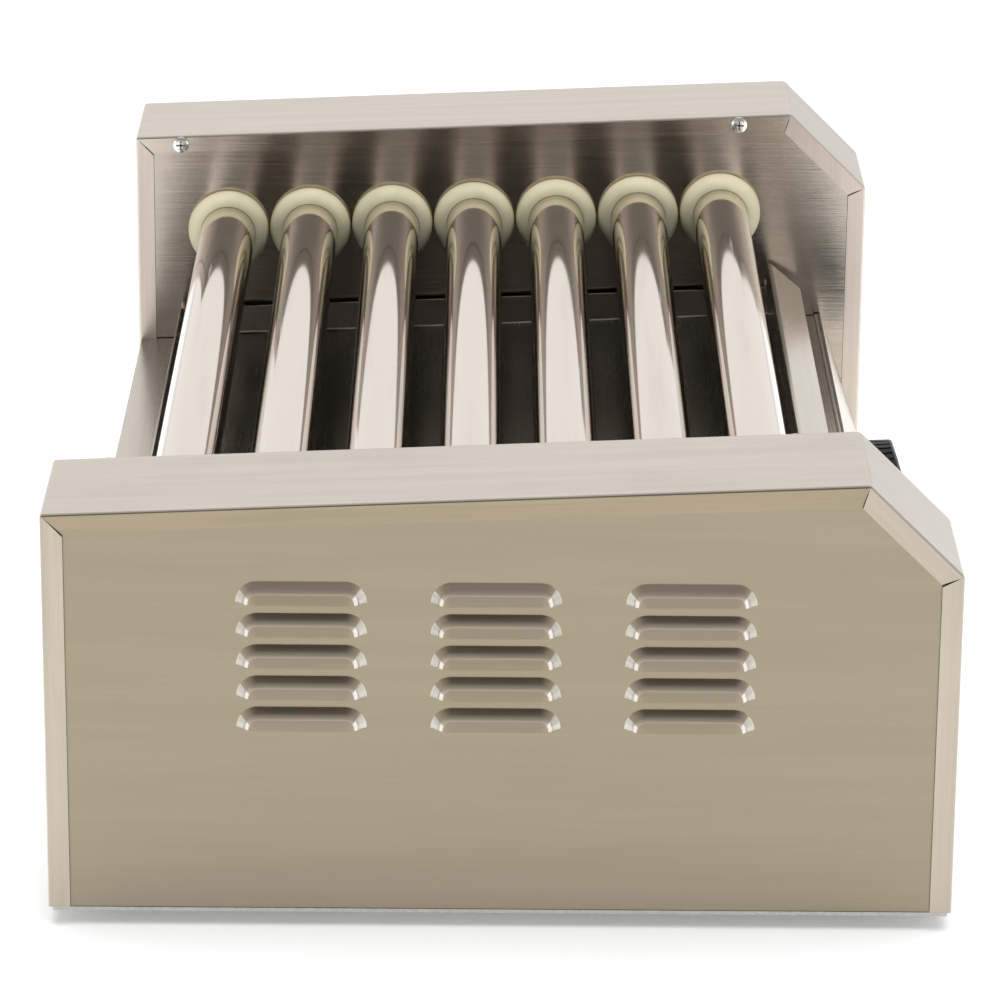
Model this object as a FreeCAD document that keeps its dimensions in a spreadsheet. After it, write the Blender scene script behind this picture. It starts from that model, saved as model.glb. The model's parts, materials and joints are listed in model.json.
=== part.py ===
"""Hot dog roller grill: two louvred end housings, seven driven rollers, a drip tray and a control panel.

Frame: +X along the rollers to the right-hand end, -Y to the operator's side, +Z up.
The origin is under the middle of the grill, at the height of the feet's undersides.
"""
import FreeCAD, Part
import math
import os
import re
import Sketcher

SIZES = {
    # overall
    "length": 580.0,
    "depth": 340.0,
    "front_height": 172.3,
    "top_slope": 2.56,
    "chamfer_depth": 35.7,
    "chamfer_drop": 35.2,
    "end_width": 62.8,
    "foot_height": 6.0,
    "foot_radius": 11.0,
    "foot_inset_x": 48.0,
    "foot_inset_y": 42.0,
    # sheet metal
    "band_sheet": 1.0,
    "panel_sheet": 1.0,
    "bulkhead_sheet": 1.2,
    "base_sheet": 1.6,
    "deck_sheet": 1.0,
    "tray_sheet": 0.8,
    "flange": 8.3,
    "mitre_gap": 0.4,
    "seat_gap": 0.1,
    "bottom_gap": 0.4,
    "base_inset": 1.6,
    "rim_height": 12.0,
    "vent_width": 4.0,
    "vent_length": 28.0,
    "vent_pitch": 22.0,
    "vent_margin": 82.0,
    # louvres
    "louvre_length": 30.0,
    "louvre_rise": 8.0,
    "louvre_reach": 4.5,
    "louvre_sheet": 0.8,
    "louvre_pitch_y": 72.0,
    "louvre_pitch_z": 12.4,
    "louvre_rows": 5,
    "louvre_columns": 3,
    "louvre_first_y": -69.7,
    "louvre_first_z": 75.4,
    # rollers
    "axis_drop": 45.6,
    "roller_pitch": 38.25,
    "roller_diameter": 25.4,
    "roller_wall": 1.2,
    "roller_middle_y": 12.5,
    "roller_left_end": 15.0,
    "roller_right_end": 23.0,
    "running_clearance": 0.08,
    # bushes
    "bush_gap": 0.75,
    "bush_reach": 8.5,
    "bush_wall_share": 0.486,
    "bush_spigot": 6.0,
    "bush_seat_clearance": 0.1,
    "bush_round_share": 0.87,
    "bush_back_share": 0.4,
    # deck and tray, below the plane of the roller axes
    "deck_drop": 52.5,
    "deck_flange": 12.0,
    "deck_flange_front": 24.0,
    "deck_front_gap": 0.5,
    "runner_height": 1.6,
    "runner_width": 14.0,
    "runner_spread": 0.6,
    "runner_front": 6.0,
    "runner_back": 20.0,
    "tray_lift": 0.1,
    "tray_side_gap": 3.0,
    "tray_back": 18.0,
    "tray_front": 45.0,
    "tray_wall": 14.0,
    "tray_front_wall": 26.3,
    "lip_length": 16.4,
    "lip_angle": 35.0,
    # control panel
    "panel_setback": 19.7,
    "panel_tilt": 18.0,
    "panel_upstand": 1.2,
    "panel_middle": 31.0,
    "control_sheet": 1.2,
    "knob_x": 72.0,
    "knob_gap": 0.8,
    "knob_reach": 18.0,
    "knob_face_radius": 16.0,
    "knob_taper": 15.0,
    "knob_skirt": 2.8,
    "skirt_step": 0.4,
    "knob_face_wall": 4.0,
    "flute_width": 1.0,
    "flute_depth": 0.7,
    "flute_count": 32,
    "shaft_radius": 3.0,
    "shaft_hole_radius": 5.0,
    "shaft_inside": 16.0,
    "thermostat_width": 36.0,
    "thermostat_tall": 30.0,
    "thermostat_depth": 27.0,
    "switch_width": 22.0,
    "switch_tall": 30.0,
    "switch_bezel": 2.0,
    "switch_rim": 1.3,
    "switch_wall": 1.6,
    "switch_depth": 20.0,
    "well_depth": 9.0,
    "rocker_gap": 0.4,
    "rocker_end_gap": 1.0,
    "rocker_proud": 6.0,
    "rocker_dip": 4.4,
    "rocker_root": 4.0,
    "rocker_tilt": 8.0,
    "pivot_radius": 1.5,
    "pivot_depth": 1.0,
    "pivot_sunk": 1.0,
    "lamp_x": 36.0,
    "lamp_radius": 5.0,
    "lamp_rim": 1.6,
    "lamp_dome": 4.0,
    "lamp_stem": 14.0,
    # drive
    "chain_pitch": 9.525,
    "chain_roller_radius": 2.5,
    "chain_clearance": 0.35,
    "link_half_height": 3.6,
    "link_plate": 1.0,
    "link_inner_gap": 5.4,
    "sprocket_teeth": 11,
    "drive_teeth": 9,
    "tooth_rise": 1.6,
    "sprocket_sheet": 4.0,
    "sprocket_x": 14.0,
    "hub_length": 10.0,
    "hub_wall": 1.6,
    "drive_below_deck": 31.5,
    "drive_shaft_radius": 4.0,
    "gearbox_width": 26.0,
    "gearbox_depth": 64.0,
    "gearbox_tall": 36.0,
    "motor_radius": 22.0,
    "motor_length": 52.0,
    "motor_boss": 6.0,
    # heaters
    "heater_radius": 4.75,
    "heater_tail": 4.0,
    "bracket_x": 31.0,
    "bracket_sheet": 1.2,
    "bracket_tall": 26.0,
    "bracket_past": 28.0,
    "terminal_wall": 2.2,
    "terminal_cap": 5.0,
    "tab_radius": 2.0,
    "tab_length": 6.0,
    # rear
    "rear_vent_first": 20.0,
    "rear_vent_height": 24.0,
    "rear_vent_drop": 12.0,
    "gland_x": -150.0,
    "gland_z": 30.0,
    "gland_radius": 8.0,
    "gland_reach": 12.0,
    "gland_flare": 1.45,
    "gland_mouth": 1.1,
    "gland_nut": 5.0,
    "block_inset": 60.0,
    "block_length": 56.0,
    "block_width": 22.0,
    "block_base": 9.0,
    "block_height": 16.0,
    "block_pitch": 14.0,
    "block_pole": 10.0,
    # screws
    "screw_radius": 1.75,
    "screw_hole_radius": 1.9,
    "screw_head_radius": 3.4,
    "screw_head_height": 2.1,
    "screw_length": 7.0,
    "screw_back": 21.1,
    "screw_front": 59.9,
    "screw_drop": 4.1,
    "foot_screw_gap": 0.6,
    "foot_screw_past": 3.0,
}

ROLLERS = range(1, 8)
BASE_VENTS = 9
REAR_VENTS = 8
BLOCK_POLES = 4
SIDES = {"left": -1, "right": 1}

INNER = "(length/2 - end_width)"
AXIS_HEIGHT = "(front_height - (depth/2 - chamfer_depth)*tan(top_slope) - axis_drop)"
BAND_BOTTOM = "(base_sheet + bottom_gap)"
BULKHEAD_X = f"({INNER} + band_sheet + seat_gap)"
LOUVRE_X = "(length/2 - band_sheet - seat_gap)"
PANEL_TOP_Y = "(depth/2 - panel_setback)"
BEND_HEIGHT = (f"({AXIS_HEIGHT} + {PANEL_TOP_Y}*tan(top_slope) - deck_drop/cos(top_slope)"
               " + panel_upstand - panel_setback/tan(panel_tilt))")
BUSH_RADIUS = "((roller_pitch - bush_gap)/2)"
BUSH_BORE = "(roller_diameter/2 + running_clearance)"
BUSH_SPIGOT = f"({BUSH_BORE} + bush_wall_share*({BUSH_RADIUS} - {BUSH_BORE}))"
DRIVE_DROP = "(deck_drop + drive_below_deck)"
TRAY_BACK_Y = "(depth/2 - tray_back)"
TRAY_FRONT_Y = "(tray_front - depth/2)"
TRAY_BOTTOM = "(runner_height + tray_lift - deck_drop)"
KNOB_BASE_RADIUS = "(knob_face_radius + (knob_reach - knob_gap - knob_skirt)*tan(knob_taper))"

# Each frame is its origin's y and z and its tilt about X, nose up towards the operator.
FRAMES = {
    "base": ("0", "foot_height", "0"),
    "deck": ("0", f"(foot_height + {AXIS_HEIGHT})", "top_slope"),
    "panel": ("(-depth/2)", f"(foot_height + {BEND_HEIGHT})", "panel_tilt"),
}

os.makedirs("parts", exist_ok=True)
doc = FreeCAD.newDocument("RollerGrill")
sheet = doc.addObject("Spreadsheet::Sheet", "Sizes")
for row, (alias, number) in enumerate(SIZES.items(), start=1):
    sheet.set(f"A{row}", alias)
    sheet.set(f"B{row}", str(number))
    sheet.setAlias(f"B{row}", alias)
doc.recompute()

nodes = []


def bind(text):
    """The expression with every size written as a reference to the sheet."""
    return re.sub(r"[a-z_]+", lambda word: f"Sizes.{word[0]}" if word[0] in SIZES else word[0], text)


def value(text):
    """The expression's number, in millimetres or degrees."""
    result = sheet.evalExpression(bind(text))
    return float(getattr(result, "Value", result))


def node(label, shape_object):
    """Name a finished sub-part and put it on the list to be written."""
    shape_object.Label = label
    nodes.append(shape_object)
    return shape_object


def place(item, frame, x="0", y="0", z="0", turn="0"):
    """Put an object at a point of a frame, with its placement bound to the sheet."""
    origin_y, origin_z, tilt = FRAMES[frame]
    angle = f"{tilt} + {turn}"
    item.Placement = FreeCAD.Placement(FreeCAD.Vector(), FreeCAD.Rotation(FreeCAD.Vector(-1, 0, 0), 10))
    item.setExpression("Placement.Base.x", bind(x))
    item.setExpression("Placement.Base.y", bind(f"{origin_y} + ({y})*cos({tilt}) + ({z})*sin({tilt})"))
    item.setExpression("Placement.Base.z", bind(f"{origin_z} - ({y})*sin({tilt}) + ({z})*cos({tilt})"))
    if value(angle) == 0:
        item.Placement = FreeCAD.Placement(item.Placement.Base, FreeCAD.Rotation())
    else:
        item.setExpression("Placement.Rotation.Angle", bind(angle))
    return item


def body(frame, x="0", y="0", z="0", turn="0"):
    """An empty body in a frame."""
    return place(doc.addObject("PartDesign::Body", "Body"), frame, x, y, z, turn)


def plane(owner, role):
    """One of a body's own origin planes or axes."""
    return next(f for f in owner.Origin.OriginFeatures if f.Role == role)


def add_sketch(owner, role, offset="0", u="0", v="0"):
    """An empty sketch on an origin plane, moved along its normal and in its plane."""
    sketch = owner.newObject("Sketcher::SketchObject", "Sketch")
    sketch.AttachmentSupport = (plane(owner, role), [""])
    sketch.MapMode = "FlatFace"
    for name, text in zip("xyz", (u, v, offset)):
        if text != "0":
            sketch.setExpression(f"AttachmentOffset.Base.{name}", bind(text))
    return sketch


def pin_point(sketch, geometry, corner, point):
    """Hold one point of a sketch at two bound distances from the sketch's origin."""
    for kind, text in zip(("DistanceX", "DistanceY"), point):
        index = sketch.addConstraint(Sketcher.Constraint(kind, -1, 1, geometry, corner, value(text)))
        sketch.setExpression(f"Constraints[{index}]", bind(text))


def polygon(sketch, points):
    """A closed outline through bound points."""
    corners = [FreeCAD.Vector(value(u), value(v), 0) for u, v in points]
    first = sketch.GeometryCount
    count = len(points)
    for i in range(count):
        sketch.addGeometry(Part.LineSegment(corners[i], corners[(i + 1) % count]), False)
    for i in range(count):
        sketch.addConstraint(Sketcher.Constraint("Coincident", first + i, 2, first + (i + 1) % count, 1))
    for i in range(count):
        pin_point(sketch, first + i, 1, points[i])
    return sketch


def rectangle(sketch, u0, u1, v0, v1):
    """A closed rectangle between bound limits."""
    return polygon(sketch, [(u0, v0), (u1, v0), (u1, v1), (u0, v1)])


def circle(sketch, u, v, radius):
    """A bound circle."""
    centre = FreeCAD.Vector(value(u), value(v), 0)
    index = sketch.addGeometry(Part.Circle(centre, FreeCAD.Vector(0, 0, 1), value(radius)), False)
    pin_point(sketch, index, 3, (u, v))
    size = sketch.addConstraint(Sketcher.Constraint("Radius", index, value(radius)))
    sketch.setExpression(f"Constraints[{size}]", bind(radius))
    return sketch


def pad(owner, sketch, length, both_ways=False):
    """Raise a sketch along its normal."""
    feature = owner.newObject("PartDesign::Pad", "Pad")
    feature.Profile = sketch
    feature.setExpression("Length", bind(length))
    feature.Midplane = both_ways
    doc.recompute()
    return feature


def pocket(owner, sketch, length=None):
    """Cut a sketch both ways from its plane, through everything or for a bound length in all."""
    before = owner.Shape.Volume
    feature = owner.newObject("PartDesign::Pocket", "Pocket")
    feature.Profile = sketch
    feature.Midplane = True
    if length is None:
        feature.Type = "ThroughAll"
    else:
        feature.setExpression("Length", bind(length))
    doc.recompute()
    if not owner.Shape.Volume < before:
        raise ValueError(f"a pocket in {owner.Label} cuts nothing")
    return feature


def slab(owner, x0, x1, y0, y1, z0, z1):
    """Add a box with bound faces to a body."""
    return pad(owner, rectangle(add_sketch(owner, "XY_Plane", z0), x0, x1, y0, y1), f"({z1}) - ({z0})")


def turned(frame, axis, profile, x="0", y="0", z="0"):
    """A body turned about its own X or Y axis, from a half outline of (along, radius) points."""
    owner = body(frame, x, y, z)
    sketch = add_sketch(owner, "XY_Plane")
    points = profile if axis == "X" else [(radius, along) for along, radius in profile]
    polygon(sketch, points)
    feature = owner.newObject("PartDesign::Revolution", "Revolution")
    feature.Profile = sketch
    feature.ReferenceAxis = (sketch, ["H_Axis" if axis == "X" else "V_Axis"])
    feature.Angle = 360
    doc.recompute()
    return owner


def group(label, members):
    """Several loose pieces of one kind as one sub-part."""
    for member in members:
        member.Label = f"{label} piece"
    compound = doc.addObject("Part::Compound", "Compound")
    compound.Links = members
    return node(label, compound)


def circular_edges(shape, radius, x=None):
    """Names of a shape's circular edges of one radius, at one place along X."""
    names = []
    for number, edge in enumerate(shape.Edges, start=1):
        curve = edge.Curve
        if not isinstance(curve, Part.Circle) or abs(curve.Radius - radius) > 0.01:
            continue
        if x is None or abs(curve.Center.x - x) < 0.01:
            names.append(f"Edge{number}")
    return names


def round_edges(owner, names, radius):
    """Round some edges of a body's last feature."""
    feature = owner.newObject("PartDesign::Fillet", "Fillet")
    feature.Base = (feature.BaseFeature or owner.Group[-2], names)
    feature.setExpression("Radius", bind(radius))
    doc.recompute()
    return feature


def outline(inset, bottom):
    """An end housing's side view drawn in by an inset, from the back's foot round to the front's foot."""
    steep = "(chamfer_drop/chamfer_depth)"
    chamfer_cos = f"cos(atan({steep}))"
    corner = "(chamfer_depth - depth/2)"
    shift = f"(({inset})*(1/cos(top_slope) - 1/{chamfer_cos})/(tan(top_slope) + {steep}))"
    back_z = (f"front_height - (depth - chamfer_depth - ({inset}))*tan(top_slope)"
              f" - ({inset})/cos(top_slope)")
    corner_z = f"front_height + {shift}*tan(top_slope) - ({inset})/cos(top_slope)"
    front_z = f"front_height - (chamfer_depth - ({inset}))*{steep} - ({inset})/{chamfer_cos}"
    return [
        (f"depth/2 - ({inset})", bottom),
        (f"depth/2 - ({inset})", back_z),
        (f"{corner} - {shift}", corner_z),
        (f"({inset}) - depth/2", front_z),
        (f"({inset}) - depth/2", bottom),
    ]


def top_at(y):
    """Height of the housing's top at a distance y from the middle."""
    return f"(front_height + (chamfer_depth - depth/2 - ({y}))*tan(top_slope))"


def roller_y(number):
    """A roller's place along the deck frame: number 1 is at the back, 7 at the operator's side."""
    return f"(roller_middle_y + {4 - number}*roller_pitch)"


def flange_screw_points():
    """Where the inner flange is screwed to its bulkhead, as (y, z) above the base."""
    return [(y, f"{top_at(y)} - screw_drop") for y in ("(depth/2 - screw_back)", "(screw_front - depth/2)")]


def make_end_band(side, sign):
    """The bent cover of an end housing: a web with a mitred flange along each edge."""
    owner = body("base", INNER if sign > 0 else "(-length/2)")
    outer = outline("0", BAND_BOTTOM)
    web = outer + outline("band_sheet", BAND_BOTTOM)[::-1]
    rim = outer + outline("flange", BAND_BOTTOM)[::-1]
    pad(owner, polygon(add_sketch(owner, "YZ_Plane"), web), "end_width")
    pad(owner, polygon(add_sketch(owner, "YZ_Plane"), rim), "band_sheet")
    pad(owner, polygon(add_sketch(owner, "YZ_Plane", "end_width - band_sheet"), rim), "band_sheet")
    seams = add_sketch(owner, "YZ_Plane")
    near = outline("band_sheet + seat_gap", BAND_BOTTOM)
    far = outline("flange + mitre_gap", BAND_BOTTOM)
    for corner, (across_y, across_z) in {1: (0, 1), 2: (1, 0), 3: (0, 1)}.items():
        y0, z0 = near[corner]
        y1, z1 = far[corner]
        half_y = f"{across_y}*mitre_gap/2"
        half_z = f"{across_z}*mitre_gap/2"
        polygon(seams, [(f"{y0} - {half_y}", f"{z0} - {half_z}"), (f"{y1} - {half_y}", f"{z1} - {half_z}"),
                        (f"{y1} + {half_y}", f"{z1} + {half_z}"), (f"{y0} + {half_y}", f"{z0} + {half_z}")])
    pocket(owner, seams)
    holes = add_sketch(owner, "YZ_Plane", "0" if sign > 0 else "end_width")
    for y, z in flange_screw_points():
        circle(holes, y, z, "screw_hole_radius")
    pocket(owner, holes, "4*band_sheet")
    node(f"{side}_end_band", owner)


def make_louvre_panel(side, sign):
    """The outer end panel, with pressed louvres that open downwards."""
    face = f"{sign}*{LOUVRE_X}"
    owner = body("base", face)
    inset = "band_sheet + seat_gap"
    start = "0" if sign < 0 else "(-panel_sheet)"
    pad(owner, polygon(add_sketch(owner, "YZ_Plane", start), outline(inset, BAND_BOTTOM)), "panel_sheet")
    radius = "((louvre_reach^2 + louvre_rise^2)/(2*louvre_reach))"
    sunk = "(-panel_sheet/2)"
    features = []
    for turn, offset in ((0, "0"), (1, "louvre_length/2"), (-1, "-louvre_length/2")):
        # the XZ plane's normal points to -Y
        sketch = add_sketch(owner, "XZ_Plane", f"-(louvre_first_y + {offset})", v="louvre_first_z")
        hood_section(sketch, sign, radius, sunk)
        if turn == 0:
            features.append(pad(owner, sketch, "louvre_length", both_ways=True))
            continue
        feature = owner.newObject("PartDesign::Revolution", "Revolution")
        feature.Profile = sketch
        feature.ReferenceAxis = (sketch, ["H_Axis"])
        feature.Angle = 90
        feature.Reversed = turn > 0
        doc.recompute()
        features.append(feature)
    features.append(pocket(owner, slot_sketch(owner), "2.2*panel_sheet"))
    pattern = owner.newObject("PartDesign::LinearPattern", "LinearPattern")
    pattern.Originals = features
    pattern.Direction = (plane(owner, "Y_Axis"), [""])
    pattern.Direction2 = (plane(owner, "Z_Axis"), [""])
    pattern.setExpression("Occurrences", bind("louvre_columns"))
    pattern.setExpression("Occurrences2", bind("louvre_rows"))
    pattern.setExpression("Length", bind("louvre_pitch_y*(louvre_columns - 1)"))
    pattern.setExpression("Length2", bind("louvre_pitch_z*(louvre_rows - 1)"))
    owner.Tip = pattern
    doc.recompute()
    node(f"{side}_louvre_panel", owner)


def hood_section(sketch, sign, radius, sunk):
    """The section of a louvre's hood: a ring sector that leaves the panel and ends upright."""
    centre = f"(louvre_reach - {radius})"
    inner = f"({radius} - louvre_sheet)"
    inner_top = f"sqrt({inner}^2 - {centre}^2)"
    tips = [(f"{sign}*louvre_reach", "0"), ("0", "louvre_rise"), (f"{sign}*{sunk}", "louvre_rise"),
            (f"{sign}*{sunk}", inner_top), ("0", inner_top), (f"{sign}*(louvre_reach - louvre_sheet)", "0")]
    spots = [FreeCAD.Vector(value(u), value(v), 0) for u, v in tips]
    middle = FreeCAD.Vector(sign * value(centre), 0, 0)
    # the outer arc, three straight stretches, the inner arc and the open edge
    outer_arc = arc_between(sketch, middle, spots[0], spots[1])
    lines = [sketch.addGeometry(Part.LineSegment(spots[i], spots[i + 1]), False) for i in (1, 2, 3)]
    inner_arc = arc_between(sketch, middle, spots[5], spots[4])
    edge = sketch.addGeometry(Part.LineSegment(spots[5], spots[0]), False)
    for line, tip in zip(lines, (1, 2, 3)):
        pin_point(sketch, line, 1, tips[tip])
        pin_point(sketch, line, 2, tips[tip + 1])
    pin_point(sketch, edge, 1, tips[5])
    pin_point(sketch, edge, 2, tips[0])
    for arc, along, top in ((outer_arc, (edge, 2), (lines[0], 1)), (inner_arc, (edge, 1), (lines[2], 2))):
        ends = (along, top) if sign > 0 else (top, along)
        for corner, (line, end) in zip((1, 2), ends):
            sketch.addConstraint(Sketcher.Constraint("Coincident", arc, corner, line, end))
    for arc, size in ((outer_arc, radius), (inner_arc, inner)):
        index = sketch.addConstraint(Sketcher.Constraint("Radius", arc, value(size)))
        sketch.setExpression(f"Constraints[{index}]", bind(size))


def arc_between(sketch, centre, first, last):
    """A circular arc that runs anticlockwise between two points, whichever comes first."""
    angles = [math.atan2(point.y - centre.y, point.x - centre.x) for point in (first, last)]
    circle_of_arc = Part.Circle(centre, FreeCAD.Vector(0, 0, 1), (first - centre).Length)
    return sketch.addGeometry(Part.ArcOfCircle(circle_of_arc, min(angles), max(angles)), False)


def slot_sketch(owner):
    """The opening behind a louvre's hood."""
    rise = "(louvre_rise - 3*louvre_sheet)"
    half = "(louvre_length/2)"
    sketch = add_sketch(owner, "YZ_Plane", u="louvre_first_y", v="louvre_first_z")
    return polygon(sketch, [(f"-{half} - {rise}", "0"), (f"{half} + {rise}", "0"),
                            (f"{half} + 0.7*{rise}", f"0.7*{rise}"), (half, rise),
                            (f"-{half}", rise), (f"-{half} - 0.7*{rise}", f"0.7*{rise}")])


def make_bulkhead(side, sign):
    """The inner end panel that carries the bushes."""
    start = BULKHEAD_X if sign > 0 else f"-{BULKHEAD_X} - bulkhead_sheet"
    owner = body("base", start)
    sheet_outline = outline("band_sheet + seat_gap", BAND_BOTTOM)
    pad(owner, polygon(add_sketch(owner, "YZ_Plane"), sheet_outline), "bulkhead_sheet")
    holes = add_sketch(owner, "YZ_Plane")
    for number in ROLLERS:
        y = roller_y(number)
        circle(holes, f"{y}*cos(top_slope)", f"{AXIS_HEIGHT} - {y}*sin(top_slope)",
               f"{BUSH_SPIGOT} + bush_seat_clearance")
    for y, z in flange_screw_points():
        circle(holes, y, z, "screw_hole_radius")
    if sign > 0:
        circle(holes, f"roller_middle_y*cos(top_slope) - {DRIVE_DROP}*sin(top_slope)",
               f"{AXIS_HEIGHT} - roller_middle_y*sin(top_slope) - {DRIVE_DROP}*cos(top_slope)",
               "2*drive_shaft_radius")
    pocket(owner, holes)
    node(f"{side}_bulkhead", owner)


def make_base_pan():
    """The base plate, with a rim inside the housings and rows of cooling slots."""
    half_x = "(length/2 - base_inset)"
    half_y = "(depth/2 - base_inset)"
    owner = body("base")
    slab(owner, f"-{half_x}", half_x, f"-{half_y}", half_y, "0", "base_sheet")
    rim_x = f"({LOUVRE_X} - panel_sheet - seat_gap)"
    rim_y = "(depth/2 - band_sheet - seat_gap - 2*panel_sheet)"
    rim_top = "(base_sheet + rim_height)"
    for sign in (-1, 1):
        edges = sorted((f"{sign}*{rim_x}", f"{sign}*({rim_x} - base_sheet)"), key=value)
        slab(owner, edges[0], edges[1], f"-{rim_y}", rim_y, "base_sheet/2", rim_top)
    slots = add_sketch(owner, "XY_Plane")
    for sign in (-1, 1):
        for column in range(BASE_VENTS):
            x = f"{sign}*(length/2 - end_width/2)"
            y = f"(depth/2 - vent_margin - vent_pitch*{column})"
            rectangle(slots, f"{x} - vent_length/2", f"{x} + vent_length/2",
                      f"{y} - vent_width/2", f"{y} + vent_width/2")
    pocket(owner, slots)
    holes = add_sketch(owner, "XY_Plane")
    for x, y in foot_points():
        circle(holes, x, y, "screw_hole_radius")
    pocket(owner, holes)
    node("base_pan", owner)


def foot_points():
    """Centres of the four feet."""
    return [(f"{a}*(length/2 - foot_inset_x)", f"{b}*(depth/2 - foot_inset_y)")
            for a in (-1, 1) for b in (-1, 1)]


def make_deck():
    """The shelf between the bulkheads, with side flanges and two runners for the tray."""
    half = f"({INNER} - seat_gap)"
    owner = body("deck")
    back = "(depth/2 - band_sheet + deck_drop*tan(top_slope))"
    front = (f"(control_sheet/cos(panel_tilt) + seat_gap + deck_front_gap"
             f" + deck_drop*tan(top_slope) - {PANEL_TOP_Y})")
    slab(owner, f"-{half}", half, front, back, "-deck_drop - deck_sheet", "-deck_drop")
    for sign in (-1, 1):
        edges = sorted((f"{sign}*{half}", f"{sign}*({half} - deck_sheet)"), key=value)
        slab(owner, edges[0], edges[1], f"{front} + deck_flange_front", f"{back} - 3*deck_sheet",
             "-deck_drop - deck_flange", "-deck_drop - deck_sheet/2")
        middle = f"{sign}*runner_spread*{half}"
        slab(owner, f"{middle} - runner_width/2", f"{middle} + runner_width/2", f"{front} + runner_front",
             f"{back} - runner_back", "-deck_drop - deck_sheet/2", "runner_height - deck_drop")
    node("deck", owner)


def make_rear_panel():
    """The upright sheet at the back, under the deck's edge."""
    half = f"({INNER} - seat_gap)"
    owner = body("base")
    face = "(depth/2 - band_sheet)"
    top = (f"({AXIS_HEIGHT} - {face}*tan(top_slope) - deck_drop/cos(top_slope)"
           " - deck_sheet/cos(top_slope) - seat_gap)")
    slab(owner, f"-{half}", half, f"{face} - panel_sheet", face, BAND_BOTTOM, top)
    openings = add_sketch(owner, "XZ_Plane")
    circle(openings, "gland_x", "gland_z", "gland_radius")
    for column in range(REAR_VENTS):
        x = f"(rear_vent_first + vent_pitch*{column})"
        rectangle(openings, x, f"{x} + vent_width",
                  f"{top} - rear_vent_drop - rear_vent_height", f"{top} - rear_vent_drop")
    pocket(owner, openings)
    node("rear_panel", owner)


def make_control_panel():
    """The sloped front sheet with its upright foot, in the panel's own frame."""
    owner = body("panel")
    tall = "(panel_setback/sin(panel_tilt))"
    drop = f"({BEND_HEIGHT} - {BAND_BOTTOM})"
    profile = [("0", tall), ("0", "0"), (f"{drop}*sin(panel_tilt)", f"-{drop}*cos(panel_tilt)"),
               (f"{drop}*sin(panel_tilt) + control_sheet*cos(panel_tilt)",
                f"control_sheet*sin(panel_tilt) - {drop}*cos(panel_tilt)"),
               ("control_sheet", "control_sheet*tan(panel_tilt/2)"), ("control_sheet", tall)]
    pad(owner, polygon(add_sketch(owner, "YZ_Plane"), profile), f"2*({INNER} - seat_gap)", both_ways=True)
    holes = add_sketch(owner, "XZ_Plane")
    for sign in (-1, 1):
        circle(holes, f"{sign}*knob_x", "panel_middle", "shaft_hole_radius")
        circle(holes, f"{sign}*lamp_x", "panel_middle", "lamp_radius")
    rectangle(holes, "switch_rim - switch_width/2", "switch_width/2 - switch_rim",
              "panel_middle - (switch_tall/2 - switch_rim)", "panel_middle + switch_tall/2 - switch_rim")
    pocket(owner, holes)
    node("control_panel", owner)


def make_bushes(side, sign):
    """The cream collars that the rollers turn in, snapped into a bulkhead."""
    members = []
    for number in ROLLERS:
        back = "(bulkhead_sheet + bush_spigot)"
        profile = [(f"{-sign}*bush_reach", BUSH_BORE), (f"{-sign}*bush_reach", BUSH_RADIUS),
                   ("0", BUSH_RADIUS), ("0", BUSH_SPIGOT), (f"{sign}*{back}", BUSH_SPIGOT),
                   (f"{sign}*{back}", BUSH_BORE)]
        owner = turned("deck", "X", profile, f"{sign}*{BULKHEAD_X}", roller_y(number))
        radius = value(BUSH_RADIUS)
        front = circular_edges(owner.Tip.Shape, radius, -sign * value("bush_reach"))
        round_edges(owner, front, f"bush_round_share*({BUSH_RADIUS} - {BUSH_BORE})")
        back_edges = circular_edges(owner.Tip.Shape, radius, 0)
        round_edges(owner, back_edges, f"bush_back_share*({BUSH_RADIUS} - {BUSH_BORE})")
        members.append(owner)
    group(f"{side}_bushes", members)


def make_rollers():
    """The seven tubes, each with its sprocket and the rod heater inside it."""
    left = f"(-{INNER} - roller_left_end)"
    right = f"({INNER} + roller_right_end)"
    outer = "(roller_diameter/2)"
    inner = "(roller_diameter/2 - roller_wall)"
    heater_end = f"({INNER} + bracket_x + bracket_sheet + heater_tail)"
    for number in ROLLERS:
        profile = [(left, inner), (right, inner), (right, outer), (left, outer)]
        node(f"roller_{number}", turned("deck", "X", profile, "0", roller_y(number)))
    for number in ROLLERS:
        make_sprocket(f"sprocket_{number}", "sprocket_teeth", outer, roller_y(number), "0")
    for number in ROLLERS:
        profile = [(f"-{heater_end}", "0"), (heater_end, "0"), (heater_end, "heater_radius"),
                   (f"-{heater_end}", "heater_radius")]
        node(f"heater_{number}", turned("deck", "X", profile, "0", roller_y(number)))


def pitch_radius(teeth):
    """Pitch radius of a sprocket for the chain."""
    return f"(chain_pitch/(2*sin(180/{teeth})))"


def make_sprocket(label, teeth, bore, y, z):
    """A toothed disc with a hub, on a shaft or tube of a given radius."""
    tip = f"({pitch_radius(teeth)} + tooth_rise)"
    middle = f"({BULKHEAD_X} + sprocket_x)"
    owner = body("deck", middle, y, z)
    disc = add_sketch(owner, "YZ_Plane")
    circle(disc, "0", "0", tip)
    pad(owner, disc, "sprocket_sheet", both_ways=True)
    hub = circle(add_sketch(owner, "YZ_Plane", "-sprocket_sheet/2"), "0", "0", f"{bore} + hub_wall")
    pad(owner, hub, "hub_length")
    gap = add_sketch(owner, "YZ_Plane")
    circle(gap, "0", pitch_radius(teeth), "chain_roller_radius + chain_clearance")
    feature = pocket(owner, gap, "sprocket_sheet")
    pattern = owner.newObject("PartDesign::PolarPattern", "PolarPattern")
    pattern.Originals = [feature]
    pattern.Axis = (plane(owner, "X_Axis"), [""])
    pattern.Angle = 360
    pattern.setExpression("Occurrences", bind(teeth))
    owner.Tip = pattern
    doc.recompute()
    pocket(owner, circle(add_sketch(owner, "YZ_Plane"), "0", "0", bore))
    node(label, owner)


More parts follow.
